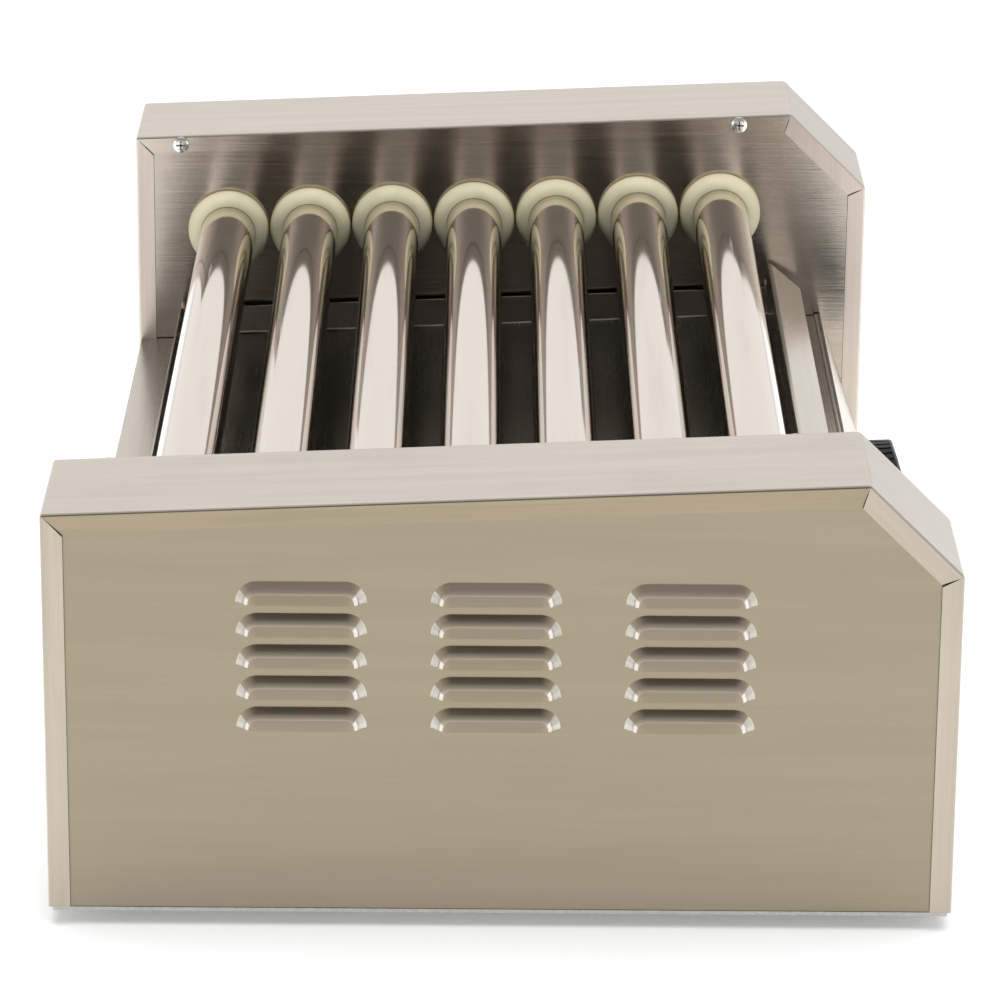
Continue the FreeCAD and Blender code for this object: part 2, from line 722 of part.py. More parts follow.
def chain_route():
    """The chain's loop in the deck frame: three circles and the runs between them, as numbers."""
    clear = value("tooth_rise + chain_clearance + chain_roller_radius")
    around = [
        (value(roller_y(1)), 0.0, value(pitch_radius("sprocket_teeth")) + clear),
        (value("roller_middle_y"), -value(DRIVE_DROP), value(pitch_radius("drive_teeth")) + clear),
        (value(roller_y(7)), 0.0, value(pitch_radius("sprocket_teeth")) + clear),
    ]
    stretches = []
    for i, (y0, z0, r0) in enumerate(around):
        y1, z1, r1 = around[(i + 1) % 3]
        distance = math.hypot(y1 - y0, z1 - z0)
        heading = math.atan2(z1 - z0, y1 - y0)
        # going clockwise, the outer tangent leaves each circle on its left
        normal = heading + math.acos((r0 - r1) / distance)
        start = (y0 + r0 * math.cos(normal), z0 + r0 * math.sin(normal))
        end = (y1 + r1 * math.cos(normal), z1 + r1 * math.sin(normal))
        stretches.append((start, end, normal))
    pieces = []
    for i, (start, end, normal) in enumerate(stretches):
        y, z, radius = around[(i + 1) % 3]
        turn = (normal - stretches[(i + 1) % 3][2]) % (2 * math.pi)
        pieces.append(("run", start, end, normal))
        pieces.append(("bend", (y, z), radius, normal, turn))
    return pieces


def piece_length(piece):
    """Length of a straight run or a bend."""
    if piece[0] == "run":
        return math.dist(piece[1], piece[2])
    return piece[2] * piece[4]


def point_on_route(pieces, distance):
    """The point a distance along the chain's loop."""
    for piece in pieces:
        length = piece_length(piece)
        if distance <= length:
            share = distance / length
            if piece[0] == "run":
                (y0, z0), (y1, z1) = piece[1], piece[2]
                return y0 + (y1 - y0) * share, z0 + (z1 - z0) * share
            angle = piece[3] - piece[4] * share
            return piece[1][0] + piece[2] * math.cos(angle), piece[1][1] + piece[2] * math.sin(angle)
        distance -= length
    return point_on_route(pieces, distance)


def link_shape(spacing, outer):
    """One link with its first pin at the origin: outer links carry the pins, inner ones have holes."""
    tall = value("link_half_height")
    sheet_thickness = value("link_plate")
    half_gap = value("link_inner_gap") / 2 + (sheet_thickness + value("seat_gap") if outer else 0)
    plates = []
    for start in (half_gap, -half_gap - sheet_thickness):
        oval = Part.makeBox(sheet_thickness, spacing, 2 * tall, FreeCAD.Vector(start, 0, -tall))
        for y in (0, spacing):
            oval = oval.fuse(Part.makeCylinder(tall, sheet_thickness, FreeCAD.Vector(start, y, 0),
                                               FreeCAD.Vector(1, 0, 0)))
        plates.append(oval.removeSplitter())
    holes = [pin_shape("chain_roller_radius + seat_gap", 2 * half_gap, y) for y in (0, spacing)]
    if not outer:
        return Part.makeCompound([plate.cut(holes) for plate in plates])
    # the outer plates are held apart by the pins, which the inner plates turn on
    pins = [pin_shape("chain_roller_radius", half_gap, y) for y in (0, spacing)]
    return plates[0].fuse(pins + [plates[1]]).removeSplitter()


def pin_shape(radius, half_length, y):
    """A pin across the chain."""
    return Part.makeCylinder(value(radius), 2 * half_length, FreeCAD.Vector(-half_length, y, 0),
                             FreeCAD.Vector(1, 0, 0))


def make_chain():
    """The roller chain over the seven roller sprockets and round the drive sprocket."""
    route = chain_route()
    total = sum(piece_length(piece) for piece in route)
    count = 2 * round(total / value("chain_pitch") / 2)
    spacing = total / count
    points = [point_on_route(route, spacing * i) for i in range(count)]
    shapes = []
    for i, (y0, z0) in enumerate(points):
        y1, z1 = points[(i + 1) % count]
        link = link_shape(math.dist((y0, z0), (y1, z1)), i % 2 == 0)
        angle = math.degrees(math.atan2(z1 - z0, y1 - y0))
        link.Placement = FreeCAD.Placement(FreeCAD.Vector(0, y0, z0),
                                           FreeCAD.Rotation(FreeCAD.Vector(1, 0, 0), angle))
        shapes.extend(link.Solids)
    chain = doc.addObject("Part::Feature", "Chain")
    chain.Shape = Part.makeCompound(shapes)
    place(chain, "deck", f"{BULKHEAD_X} + sprocket_x")
    node("chain", chain)


def make_heater_fixings(side, sign):
    """The bracket that holds the heaters' ends, and the ceramic terminals outside it."""
    owner = body("deck")
    x0 = f"{sign}*({INNER} + bracket_x)"
    x1 = f"{sign}*({INNER} + bracket_x + bracket_sheet)"
    wall = f"{sign}*({BULKHEAD_X} + bulkhead_sheet)"
    edges = sorted((x0, x1), key=value)
    back = f"({roller_y(1)} + bracket_past)"
    front = f"({roller_y(7)} - bracket_past)"
    slab(owner, edges[0], edges[1], front, back, "-bracket_tall/2", "bracket_tall/2")
    leg = sorted((x0, wall), key=value)
    for y0, y1 in ((front, f"{front} + bracket_sheet"), (f"{back} - bracket_sheet", back)):
        slab(owner, leg[0], leg[1], y0, y1, "-bracket_tall/2", "bracket_tall/2")
    holes = add_sketch(owner, "YZ_Plane", x0)
    for number in ROLLERS:
        circle(holes, roller_y(number), "0", "heater_radius + seat_gap")
    pocket(owner, holes, "4*bracket_sheet")
    node(f"{side}_heater_bracket", owner)
    members = []
    for number in ROLLERS:
        bore = "(heater_radius + seat_gap)"
        floor = "(heater_tail + seat_gap)"
        outer = f"({bore} + terminal_wall)"
        cap = f"({floor} + terminal_cap)"
        tip = f"({cap} + tab_length)"
        points = [("0", bore), ("0", outer), (cap, outer), (cap, "tab_radius"),
                  (tip, "tab_radius"), (tip, "0"), (floor, "0"), (floor, bore)]
        profile = [(f"{sign}*({along})", radius) for along, radius in points]
        members.append(turned("deck", "X", profile, x1, roller_y(number)))
    group(f"{side}_terminals", members)


def make_drive():
    """The gear motor under the deck, and its shaft and sprocket beyond the bulkhead."""
    y = "roller_middle_y"
    z = f"(-{DRIVE_DROP})"
    face = f"({BULKHEAD_X} - seat_gap)"
    box = body("deck", face, y, z)
    slab(box, "-gearbox_width", "0", "-gearbox_depth/2", "gearbox_depth/2",
         "-gearbox_tall/2", "gearbox_tall/2")
    bore = circle(add_sketch(box, "YZ_Plane"), "0", "0", "drive_shaft_radius + running_clearance")
    pocket(box, bore, "1.2*gearbox_width")
    node("gearbox", box)
    can_end = "(-gearbox_width - motor_length)"
    profile = [("-gearbox_width", "0"), ("-gearbox_width", "motor_radius"), (can_end, "motor_radius"),
               (can_end, "motor_radius/2"), (f"{can_end} - motor_boss", "motor_radius/2"),
               (f"{can_end} - motor_boss", "0")]
    node("motor_can", turned("deck", "X", profile, face, y, z))
    profile = [("-gearbox_width/2", "0"), ("-gearbox_width/2", "drive_shaft_radius"),
               ("sprocket_x + hub_length", "drive_shaft_radius"), ("sprocket_x + hub_length", "0")]
    node("motor_shaft", turned("deck", "X", profile, face, y, z))
    make_sprocket("drive_sprocket", "drive_teeth", "drive_shaft_radius", y, z)


def make_tray():
    """The drip tray: a shallow pan with a taller front wall that ends in a handle lip."""
    half = f"({INNER} - tray_side_gap)"
    owner = body("deck")
    top = f"({TRAY_BOTTOM} + tray_wall)"
    lip_z = f"({TRAY_BOTTOM} + tray_front_wall)"
    slab(owner, f"-{half}", half, TRAY_FRONT_Y, TRAY_BACK_Y, TRAY_BOTTOM, top)
    hollow = rectangle(add_sketch(owner, "XY_Plane", top), f"tray_sheet - {half}", f"{half} - tray_sheet",
                       f"{TRAY_FRONT_Y} + tray_sheet", f"{TRAY_BACK_Y} - tray_sheet")
    pocket(owner, hollow, "2*(tray_wall - tray_sheet)")
    slab(owner, f"-{half}", half, TRAY_FRONT_Y, f"{TRAY_FRONT_Y} + tray_sheet", f"{top} - tray_sheet", lip_z)
    out = "lip_length*cos(lip_angle + top_slope)"
    down = "lip_length*sin(lip_angle + top_slope)"
    profile = [(f"{TRAY_FRONT_Y} + tray_sheet", lip_z), (f"{TRAY_FRONT_Y} - {out}", f"{lip_z} - {down}"),
               (f"{TRAY_FRONT_Y} - {out}", f"{lip_z} - {down} - tray_sheet"),
               (f"{TRAY_FRONT_Y} + tray_sheet", f"{lip_z} - 2*tray_sheet")]
    pad(owner, polygon(add_sketch(owner, "YZ_Plane"), profile), f"2*({half} - lip_length/4)", both_ways=True)
    node("drip_tray", owner)


def make_knob(side, sign):
    """A ribbed knob on its thermostat's shaft."""
    x = f"{sign}*knob_x"
    skirt_end = "(-knob_gap - knob_skirt)"
    bore_end = "(knob_face_wall - knob_reach)"
    grip = f"({KNOB_BASE_RADIUS} - flute_depth)"
    clear = f"({KNOB_BASE_RADIUS} + 4*skirt_step)"
    profile = [("-knob_gap", "shaft_radius"), ("-knob_gap", f"{KNOB_BASE_RADIUS} + 2*skirt_step"),
               (skirt_end, f"{KNOB_BASE_RADIUS} + skirt_step"), (skirt_end, KNOB_BASE_RADIUS),
               ("-knob_reach", "knob_face_radius"), ("-knob_reach", "0"), (bore_end, "0"),
               (bore_end, "shaft_radius")]
    knob = turned("panel", "Y", profile, x, "0", "panel_middle")
    flute = polygon(add_sketch(knob, "XY_Plane"),
                    [(grip, skirt_end), ("knob_face_radius - flute_depth", "-knob_reach - flute_width"),
                     (clear, "-knob_reach - flute_width"), (clear, skirt_end)])
    feature = pocket(knob, flute, "flute_width")
    pattern = knob.newObject("PartDesign::PolarPattern", "PolarPattern")
    pattern.Originals = [feature]
    pattern.Axis = (plane(knob, "Y_Axis"), [""])
    pattern.Angle = 360
    pattern.setExpression("Occurrences", bind("flute_count"))
    knob.Tip = pattern
    doc.recompute()
    node(f"{side}_knob", knob)
    inner_end = "(control_sheet + shaft_inside)"
    profile = [(bore_end, "0"), (bore_end, "shaft_radius"), (inner_end, "shaft_radius"), (inner_end, "0")]
    node(f"{side}_thermostat_shaft", turned("panel", "Y", profile, x, "0", "panel_middle"))
    case = body("panel", x, "0", "panel_middle")
    slab(case, "-thermostat_width/2", "thermostat_width/2", "control_sheet + seat_gap",
         "control_sheet + seat_gap + thermostat_depth", "-thermostat_tall/2", "thermostat_tall/2")
    bore = circle(add_sketch(case, "XZ_Plane"), "0", "0", "shaft_radius + running_clearance")
    pocket(case, bore, f"2*({inner_end} + seat_gap)")
    node(f"{side}_thermostat", case)


def make_switch():
    """The rocker switch: a housing with a bezel, and a rocker that tips on its pivot's two stubs."""
    well_x = "(switch_width/2 - switch_rim - switch_wall)"
    well_z = "(switch_tall/2 - switch_rim - switch_wall)"
    shell_x = "(switch_width/2 - switch_rim - seat_gap)"
    shell_z = "(switch_tall/2 - switch_rim - seat_gap)"
    housing = body("panel", "0", "0", "panel_middle")
    slab(housing, "-switch_width/2", "switch_width/2", "-switch_bezel", "0",
         "-switch_tall/2", "switch_tall/2")
    slab(housing, f"-{shell_x}", shell_x, "-switch_bezel/2", "switch_depth", f"-{shell_z}", shell_z)
    well = rectangle(add_sketch(housing, "XZ_Plane"), f"-{well_x}", well_x, f"-{well_z}", well_z)
    pocket(housing, well, "2*well_depth")
    sockets = circle(add_sketch(housing, "YZ_Plane"), "pivot_sunk", "0", "pivot_radius + running_clearance")
    pocket(housing, sockets, f"2*({well_x} + pivot_depth + seat_gap)")
    node("switch_housing", housing)
    reach = f"({well_z} - rocker_end_gap)"
    rocker = body("panel", "0", "pivot_sunk", "panel_middle", "rocker_tilt")
    profile = [("rocker_root", f"-{reach}/2"), ("rocker_root", f"{reach}/2"), ("-pivot_sunk", reach),
               ("-rocker_proud", reach), ("-rocker_dip", "0"), ("-rocker_proud", f"-{reach}"),
               ("-pivot_sunk", f"-{reach}")]
    side_view = polygon(add_sketch(rocker, "YZ_Plane"), profile)
    pad(rocker, side_view, f"2*({well_x} - rocker_gap)", both_ways=True)
    stubs = circle(add_sketch(rocker, "YZ_Plane"), "0", "0", "pivot_radius")
    pad(rocker, stubs, f"2*({well_x} + pivot_depth)", both_ways=True)
    node("switch_rocker", rocker)


def make_lamp(side, sign):
    """An indicator lamp: a domed lens with a stem through the panel."""
    stem = "(lamp_radius - seat_gap)"
    rim = "(lamp_radius*1.2)"
    profile = [("-lamp_dome", "0"), ("-0.85*lamp_dome", "0.48*lamp_radius"),
               ("-0.5*lamp_dome", "0.8*lamp_radius"), ("-lamp_rim", rim), ("0", rim), ("0", stem),
               ("lamp_stem", stem), ("lamp_stem", "0")]
    node(f"{side}_lamp", turned("panel", "Y", profile, f"{sign}*lamp_x", "0", "panel_middle"))


def make_gland():
    """The empty cable gland in the rear panel, and the terminal block inside it."""
    bore = "(gland_radius/2)"
    stem = "(gland_radius - seat_gap)"
    outer = "(gland_radius*gland_flare)"
    nut_end = "(-panel_sheet - gland_nut)"
    profile = [("gland_reach", bore), ("gland_reach", "gland_radius*gland_mouth"), ("gland_reach/2", outer),
               ("0", outer), ("0", stem), ("-panel_sheet", stem), ("-panel_sheet", outer),
               (nut_end, outer), (nut_end, bore)]
    node("cable_gland", turned("base", "Y", profile, "gland_x", "depth/2 - band_sheet", "gland_z"))
    block = body("base", "gland_x", "depth/2 - block_inset", "base_sheet")
    slab(block, "-block_length/2", "block_length/2", "-block_width/2", "block_width/2", "0", "block_base")
    for column in range(BLOCK_POLES):
        x = f"(block_pitch*({column} - {(BLOCK_POLES - 1) / 2}))"
        slab(block, f"{x} - block_pole/2", f"{x} + block_pole/2", "-block_width/2", "block_width/2",
             "block_base - seat_gap", "block_height")
    node("terminal_block", block)


def make_feet():
    """Four rubber feet, and the screws that hold them."""
    feet = []
    screws = []
    for x, y in foot_points():
        foot = body("base", x, y, "-foot_height")
        pad(foot, circle(add_sketch(foot, "XY_Plane"), "0", "0", "foot_radius"), "foot_height")
        recess = circle(add_sketch(foot, "XY_Plane"), "0", "0", "screw_head_radius + foot_screw_gap")
        pocket(foot, recess, "foot_height")
        pocket(foot, circle(add_sketch(foot, "XY_Plane"), "0", "0", "screw_hole_radius"))
        feet.append(foot)
        screw = body("base", x, y, "-foot_height/2")
        head = circle(add_sketch(screw, "XY_Plane", "-screw_head_height"), "0", "0", "screw_head_radius")
        pad(screw, head, "screw_head_height")
        pad(screw, circle(add_sketch(screw, "XY_Plane"), "0", "0", "screw_radius"),
            "foot_height/2 + base_sheet + foot_screw_past")
        screws.append(screw)
    group("feet", feet)
    group("base_screws", screws)


def make_flange_screws():
    """Pan-head cross-recess screws through the inner flanges into the bulkheads."""
    screws = []
    for sign in SIDES.values():
        for y, z in flange_screw_points():
            tip = "screw_length"
            points = [("0", "screw_head_radius"), ("0.45*screw_head_height", "0.94*screw_head_radius"),
                      ("0.8*screw_head_height", "0.7*screw_head_radius"),
                      ("screw_head_height", "0.4*screw_head_radius"), ("screw_head_height", "0")]
            profile = [(f"{-sign}*({along})", radius) for along, radius in points]
            profile += [(f"{sign}*{tip}", "0"), (f"{sign}*{tip}", "screw_radius"), ("0", "screw_radius")]
            screw = turned("base", "X", profile, f"{sign}*{INNER}", y, z)
            cross = add_sketch(screw, "YZ_Plane", f"{-sign}*screw_head_height")
            arm = "(0.55*screw_head_radius)"
            slit = "(0.12*screw_head_radius)"
            polygon(cross, [(slit, slit), (arm, slit), (arm, f"-{slit}"), (slit, f"-{slit}"),
                            (slit, f"-{arm}"), (f"-{slit}", f"-{arm}"), (f"-{slit}", f"-{slit}"),
                            (f"-{arm}", f"-{slit}"), (f"-{arm}", slit), (f"-{slit}", slit),
                            (f"-{slit}", arm), (slit, arm)])
            pocket(screw, cross, "1.1*screw_head_height")
            screws.append(screw)
    group("flange_screws", screws)


make_base_pan()
for side_name, side_sign in SIDES.items():
    make_end_band(side_name, side_sign)
    make_louvre_panel(side_name, side_sign)
    make_bulkhead(side_name, side_sign)
    make_bushes(side_name, side_sign)
    make_heater_fixings(side_name, side_sign)
    make_knob(side_name, side_sign)
    make_lamp(side_name, side_sign)
make_deck()
make_rear_panel()
make_control_panel()
make_rollers()
make_chain()
make_drive()
make_tray()
make_switch()
make_gland()
make_feet()
make_flange_screws()

doc.recompute()
for item in doc.Objects:
    if "Invalid" in item.State or "Error" in item.State:
        raise ValueError(f"{item.Label} failed: {item.State}")
for item in nodes:
    if item.Shape.isNull() or not item.Shape.isValid():
        raise ValueError(f"{item.Label} has no valid shape")
for item in nodes:
    item.Shape.exportStep(f"parts/{item.Label}.step")
    box = item.Shape.BoundBox
    print(f"{item.Label:26s} {len(item.Shape.Solids):4d} solids {item.Shape.Volume:12.1f} mm3 "
          f"x {box.XMin:8.2f} {box.XMax:8.2f} y {box.YMin:8.2f} {box.YMax:8.2f} "
          f"z {box.ZMin:7.2f} {box.ZMax:7.2f}")
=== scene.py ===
"""The looks of a hot dog roller grill, built around its packed frame.

The file is laid out as an add-on and is run as a script. Everything is in metres: +X runs along the
rollers to the right-hand end, -Y is the operator's side and +Z is up.
"""

import json
import math

import bmesh
import bpy
from bpy.props import FloatProperty, FloatVectorProperty, IntProperty, PointerProperty
from mathutils import Matrix, Vector


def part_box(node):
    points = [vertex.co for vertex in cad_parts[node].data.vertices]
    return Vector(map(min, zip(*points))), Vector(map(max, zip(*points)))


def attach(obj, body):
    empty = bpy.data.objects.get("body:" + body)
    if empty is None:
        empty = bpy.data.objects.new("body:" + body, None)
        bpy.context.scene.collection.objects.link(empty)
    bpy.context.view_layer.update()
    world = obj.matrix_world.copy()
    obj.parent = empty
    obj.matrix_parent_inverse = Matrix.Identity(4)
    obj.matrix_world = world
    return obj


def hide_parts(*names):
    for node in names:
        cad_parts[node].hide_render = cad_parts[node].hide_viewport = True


bl_info = {
    "name": "Roller grill looks",
    "version": (1, 0, 0),
    "blender": (4, 5, 0),
    "location": "View3D > Sidebar > Grill",
    "description": "Models and finishes the pieces of a hot dog roller grill around its frame",
    "category": "Object",
}

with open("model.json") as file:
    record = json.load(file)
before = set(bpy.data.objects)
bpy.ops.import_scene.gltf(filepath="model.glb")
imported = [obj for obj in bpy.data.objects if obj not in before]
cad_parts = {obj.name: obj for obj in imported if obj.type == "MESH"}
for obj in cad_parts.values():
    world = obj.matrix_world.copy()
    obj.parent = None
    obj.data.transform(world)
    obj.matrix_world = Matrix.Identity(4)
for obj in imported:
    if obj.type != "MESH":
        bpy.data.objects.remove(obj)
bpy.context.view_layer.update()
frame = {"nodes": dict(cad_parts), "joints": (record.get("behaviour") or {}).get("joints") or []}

SIDES = {"left": -1, "right": 1}
ROLLERS = range(1, 8)
BODY = "chassis"
MM = 0.001
CUT_EDGE = 0.12 * MM  # width of the broken edges of bent sheets
DISH_DEPTH = 0.7 * MM  # how far a knob's face is dished
HIGHLIGHT_TURN = math.radians(50)  # from here a hood's end takes the painted highlight


def centre(node):
    """The middle of a frame node's box."""
    low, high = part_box(node)
    return (low + high) / 2


def joint(name):
    """One joint of the frame's record."""
    return next(j for j in frame["joints"] if j["name"] == name)


# the row of rollers leans up towards the operator, and the housings' tops and the tray lean with it
BACK_AXIS = centre("roller_1")
FRONT_AXIS = centre("roller_7")
LEAN = math.atan2(FRONT_AXIS.z - BACK_AXIS.z, BACK_AXIS.y - FRONT_AXIS.y)
ROW = Matrix.Translation((0, *centre("roller_4").yz)) @ Matrix.Rotation(-LEAN, 4, "X")


# ---------------------------------------------------------------- settings

def length_setting(name, description, default):
    """A length in metres, given in millimetres."""
    return FloatProperty(name=name, description=description, default=default * MM, min=0,
                         unit="LENGTH", subtype="DISTANCE")


def colour_setting(name, description, default):
    """A linear colour."""
    return FloatVectorProperty(name=name, description=description, default=default, min=0, max=1,
                               subtype="COLOR")


def angle_setting(name, description, default):
    """An angle in radians, given in degrees."""
    return FloatProperty(name=name, description=description, default=math.radians(default),
                         unit="ROTATION", subtype="ANGLE")


class HousingSettings(bpy.types.PropertyGroup):
    """Sizes of the end housings' bent covers."""
    sheet: length_setting("Sheet", "Thickness of the cover's sheet", 1.0)
    flange: length_setting("Flange", "Width of the flanges round both openings", 8.3)
    chamfer_depth: length_setting("Chamfer depth", "How far back the front chamfer reaches", 35.7)
    chamfer_drop: length_setting("Chamfer drop", "How far down the front chamfer reaches", 35.2)
    mitre_gap: length_setting("Mitre gap", "Width of the open seams at the flanges' corners", 1.2)
    bend: length_setting("Bend", "Outer radius of the sheet's bends", 1.3)


class LouvreSettings(bpy.types.PropertyGroup):
    """Sizes of the louvred end panels."""
    sheet: length_setting("Sheet", "Thickness of the panel", 0.8)
    inset: length_setting("Inset", "How far the panel stands in from the cover's outline", 1.1)
    length: length_setting("Length", "Straight length of a hood", 32.4)
    rise: length_setting("Rise", "Height of a hood", 8.0)
    reach: length_setting("Reach", "How far a hood stands off the panel", 4.5)
    shoulder_out: length_setting("Shoulder out", "How far the hood's shoulder stands off the panel", 3.7)
    shoulder_up: length_setting("Shoulder up", "Height of the hood's shoulder over its open edge", 5.4)
    end_draw: FloatProperty(name="End draw", description="How much the shoulder draws in at the ends",
                            default=0.14, min=0, max=0.9)
    columns: IntProperty(name="Columns", description="Louvres side by side", default=3, min=1)
    rows: IntProperty(name="Rows", description="Louvres above one another", default=5, min=1)
    first_y: FloatProperty(name="First column", description="Middle of the first column of louvres",
                           default=-69.7 * MM, unit="LENGTH", subtype="DISTANCE")
    first_z: length_setting("First row", "Height of the lowest row's open edges", 81.4)
    pitch_y: length_setting("Column pitch", "Distance between columns", 72.0)
    pitch_z: length_setting("Row pitch", "Distance between rows", 12.4)


class RollerSettings(bpy.types.PropertyGroup):
    """Sizes of the rollers and their bushes."""
    wall: length_setting("Tube wall", "Thickness of a roller's tube", 1.2)
    steps: IntProperty(name="Steps", description="Faces round a roller", default=128, min=24, max=256)
    bush_back: length_setting("Bush back", "Radius of the rounding where a bush meets its bulkhead", 2.2)
    spigot: length_setting("Spigot", "Wall of a bush's spigot behind the bulkhead", 2.8)
    clearance: length_setting("Clearance", "Space between a roller and its bushes", 0.03)
    bush_lip: length_setting("Bush lip", "Size of the broken edges of a bush's bore and spigot", 0.1)


class TraySettings(bpy.types.PropertyGroup):
    """Sizes of the drip tray."""
    sheet: length_setting("Sheet", "Thickness of the tray's sheet", 0.8)
    wall: length_setting("Wall", "Height of the back and side walls", 14.0)
    front_wall: length_setting("Front wall", "Height of the front wall, under the lip", 26.3)
    lip: length_setting("Lip", "Length of the handle lip", 17.4)
    lip_angle: angle_setting("Lip angle", "How far the lip leans down", 35.0)
    corner: length_setting("Lip corner", "Size of the lip's cut corners", 8.5)
    bend: length_setting("Bend", "Outer radius of the tray's bends", 1.8)


class ChassisSettings(bpy.types.PropertyGroup):
    """Sizes of the hem between the control panel and the deck."""
    hem_back: length_setting("Hem back", "How far the hem reaches over the deck's front flange", 1.56)
    hem_drop: length_setting("Hem drop", "How far the hem lies under the control panel's top edge", 0.46)
    hem_sheet: length_setting("Hem sheet", "Thickness of the hem", 0.8)
    hem_inset: length_setting("Hem inset", "Space between the hem and the bulkheads", 0.5)


class KnobSettings(bpy.types.PropertyGroup):
    """Sizes of the two control knobs."""
    face_radius: length_setting("Face radius", "Radius of the knob's face", 16.0)
    reach: length_setting("Reach", "How far the knob stands off the panel", 18.0)
    gap: length_setting("Gap", "Space between the knob and the panel", 0.8)
    skirt: length_setting("Skirt", "Height of the plain skirt", 2.8)
    taper: angle_setting("Taper", "Slope of the ribbed grip", 15.0)
    flute_depth: length_setting("Flute depth", "Depth of the flutes between the ribs", 0.7)
    flutes: IntProperty(name="Flutes", description="Flutes round the grip", default=32, min=8, max=64)


class ScrewSettings(bpy.types.PropertyGroup):
    """Sizes of the flanges' screws."""
    head: length_setting("Head", "Radius of a screw's head", 3.8)
    head_height: length_setting("Head height", "Height of a screw's head", 1.5)
    settle: length_setting("Settle", "How far a head sits under its room", 0.6)
    shank: length_setting("Shank", "Radius of a screw's shank", 1.9)
    recess: length_setting("Recess", "Half the length of the cross recess", 2.1)


class FinishSettings(bpy.types.PropertyGroup):
    """Colours of the materials."""
    top: colour_setting("Covers", "Brushed stainless of the covers", (0.585, 0.525, 0.465))
    # painted shade: the chamfers are the covers' own stainless, made darker
    chamfer: colour_setting("Chamfers", "Brushed stainless of the covers' front chamfers",
                            (0.51, 0.46, 0.41))
    # painted shade: the louvred panels are the covers' stainless, made much darker
    panel: colour_setting("End panels", "Brushed stainless of the louvred panels", (0.315, 0.265, 0.195))
    # painted shade: the top flanges are the covers' own stainless, made darker
    rim: colour_setting("Top flanges", "Brushed stainless of the flanges along the tops",
                        (0.325, 0.272, 0.192))
    # painted shade: the upright flanges are the covers' own stainless, made darker
    strip: colour_setting("Side flanges", "Brushed stainless of the upright flanges", (0.44, 0.395, 0.328))
    # painted light: most flanges by the rollers are the covers' own stainless, made lighter
    outlet: colour_setting("Inner flanges", "Brushed stainless of the flanges by the rollers",
                           (0.66, 0.59, 0.52))
    # painted shadow: the near-black cut edges draw the shadow lines along the flanges and seams
    edge: colour_setting("Cut edges", "Darkened cut edges of the covers' sheet", (0.075, 0.062, 0.048))
    inside: colour_setting("Bulkheads", "Stainless of the bulkheads and the tray", (0.54, 0.49, 0.42))
    chrome: colour_setting("Rollers", "Polished stainless of the rollers", (0.67, 0.61, 0.55))
    # painted shade: the tray floor is made near black for the shade and dark reflections under the rollers
    tray: colour_setting("Tray floor", "Grease-darkened steel inside the tray", (0.10, 0.085, 0.072))
    shelf: colour_setting("Deck", "Brushed stainless of the deck and the panels", (0.56, 0.51, 0.45))
    # painted light: the louvres' upper slopes are the panel's own stainless, made lighter
    slope: colour_setting("Louvre slopes", "Brushed stainless of the louvres' upper slopes",
                          (0.50, 0.43, 0.34))
    # painted highlight: the louvres' rounded ends are made bright
    end_highlight: colour_setting("Louvre ends", "Stretched bright metal at the louvres' ends",
                            (0.66, 0.63, 0.58))
    cream: colour_setting("Bushes", "Cream plastic of the bushes", (0.65, 0.61, 0.43))
    black: colour_setting("Knobs", "Black plastic of the knobs", (0.012, 0.012, 0.013))
    zinc: colour_setting("Base", "Dull zinc coat of the base plate", (0.50, 0.50, 0.48))
    floor: colour_setting("Floor", "Paint of the studio floor", (0.90, 0.90, 0.895))


class StageSettings(bpy.types.PropertyGroup):
    """The studio's camera and lights."""
    target: FloatVectorProperty(name="Target", description="Point that the camera looks at",
                                default=(0, 0.0002, 0.0685), subtype="TRANSLATION", unit="LENGTH")
    azimuth: angle_setting("Azimuth", "The camera's heading, 0 looking along +Y", -90.229)
    elevation: angle_setting("Elevation", "The camera's height as an angle", 19.623)
    roll: angle_setting("Roll", "The camera's turn about its own view", 0.502)
    distance: length_setting("Distance", "From the camera to its target", 2111.25)
    lens: FloatProperty(name="Lens", description="Focal length on a 36 mm sensor", default=177.7,
                        min=10, subtype="DISTANCE_CAMERA")
    key_power: FloatProperty(name="Key power", description="Power of the overhead light", default=70,
                             min=0, unit="POWER")
    floor_radius: length_setting("Floor radius", "Radius of the studio floor", 9000)


# ---------------------------------------------------------------- materials

class Value:
    """A node's output. Arithmetic on it adds Math nodes to its shader."""

    def __init__(self, shader, socket):
        self.shader = shader
        self.socket = socket

    def maths(self, operation, *operands):
        return self.shader.node("ShaderNodeMath", {"operation": operation}, dict(enumerate(operands)))

    def __add__(self, other):
        return self.maths("ADD", self, other)

    def __sub__(self, other):
        return self.maths("SUBTRACT", self, other)

    def __rsub__(self, other):
        return self.maths("SUBTRACT", other, self)

    def __mul__(self, other):
        return self.maths("MULTIPLY", self, other)

    __radd__ = __add__
    __rmul__ = __mul__

    def absolute(self):
        return self.maths("ABSOLUTE", self)

    def between(self, low, high):
        """A soft step from 0 at low to 1 at high."""
        return self.shader.node("ShaderNodeMapRange", {"interpolation_type": "SMOOTHSTEP"},
                                {"Value": self, "From Min": low, "From Max": high})


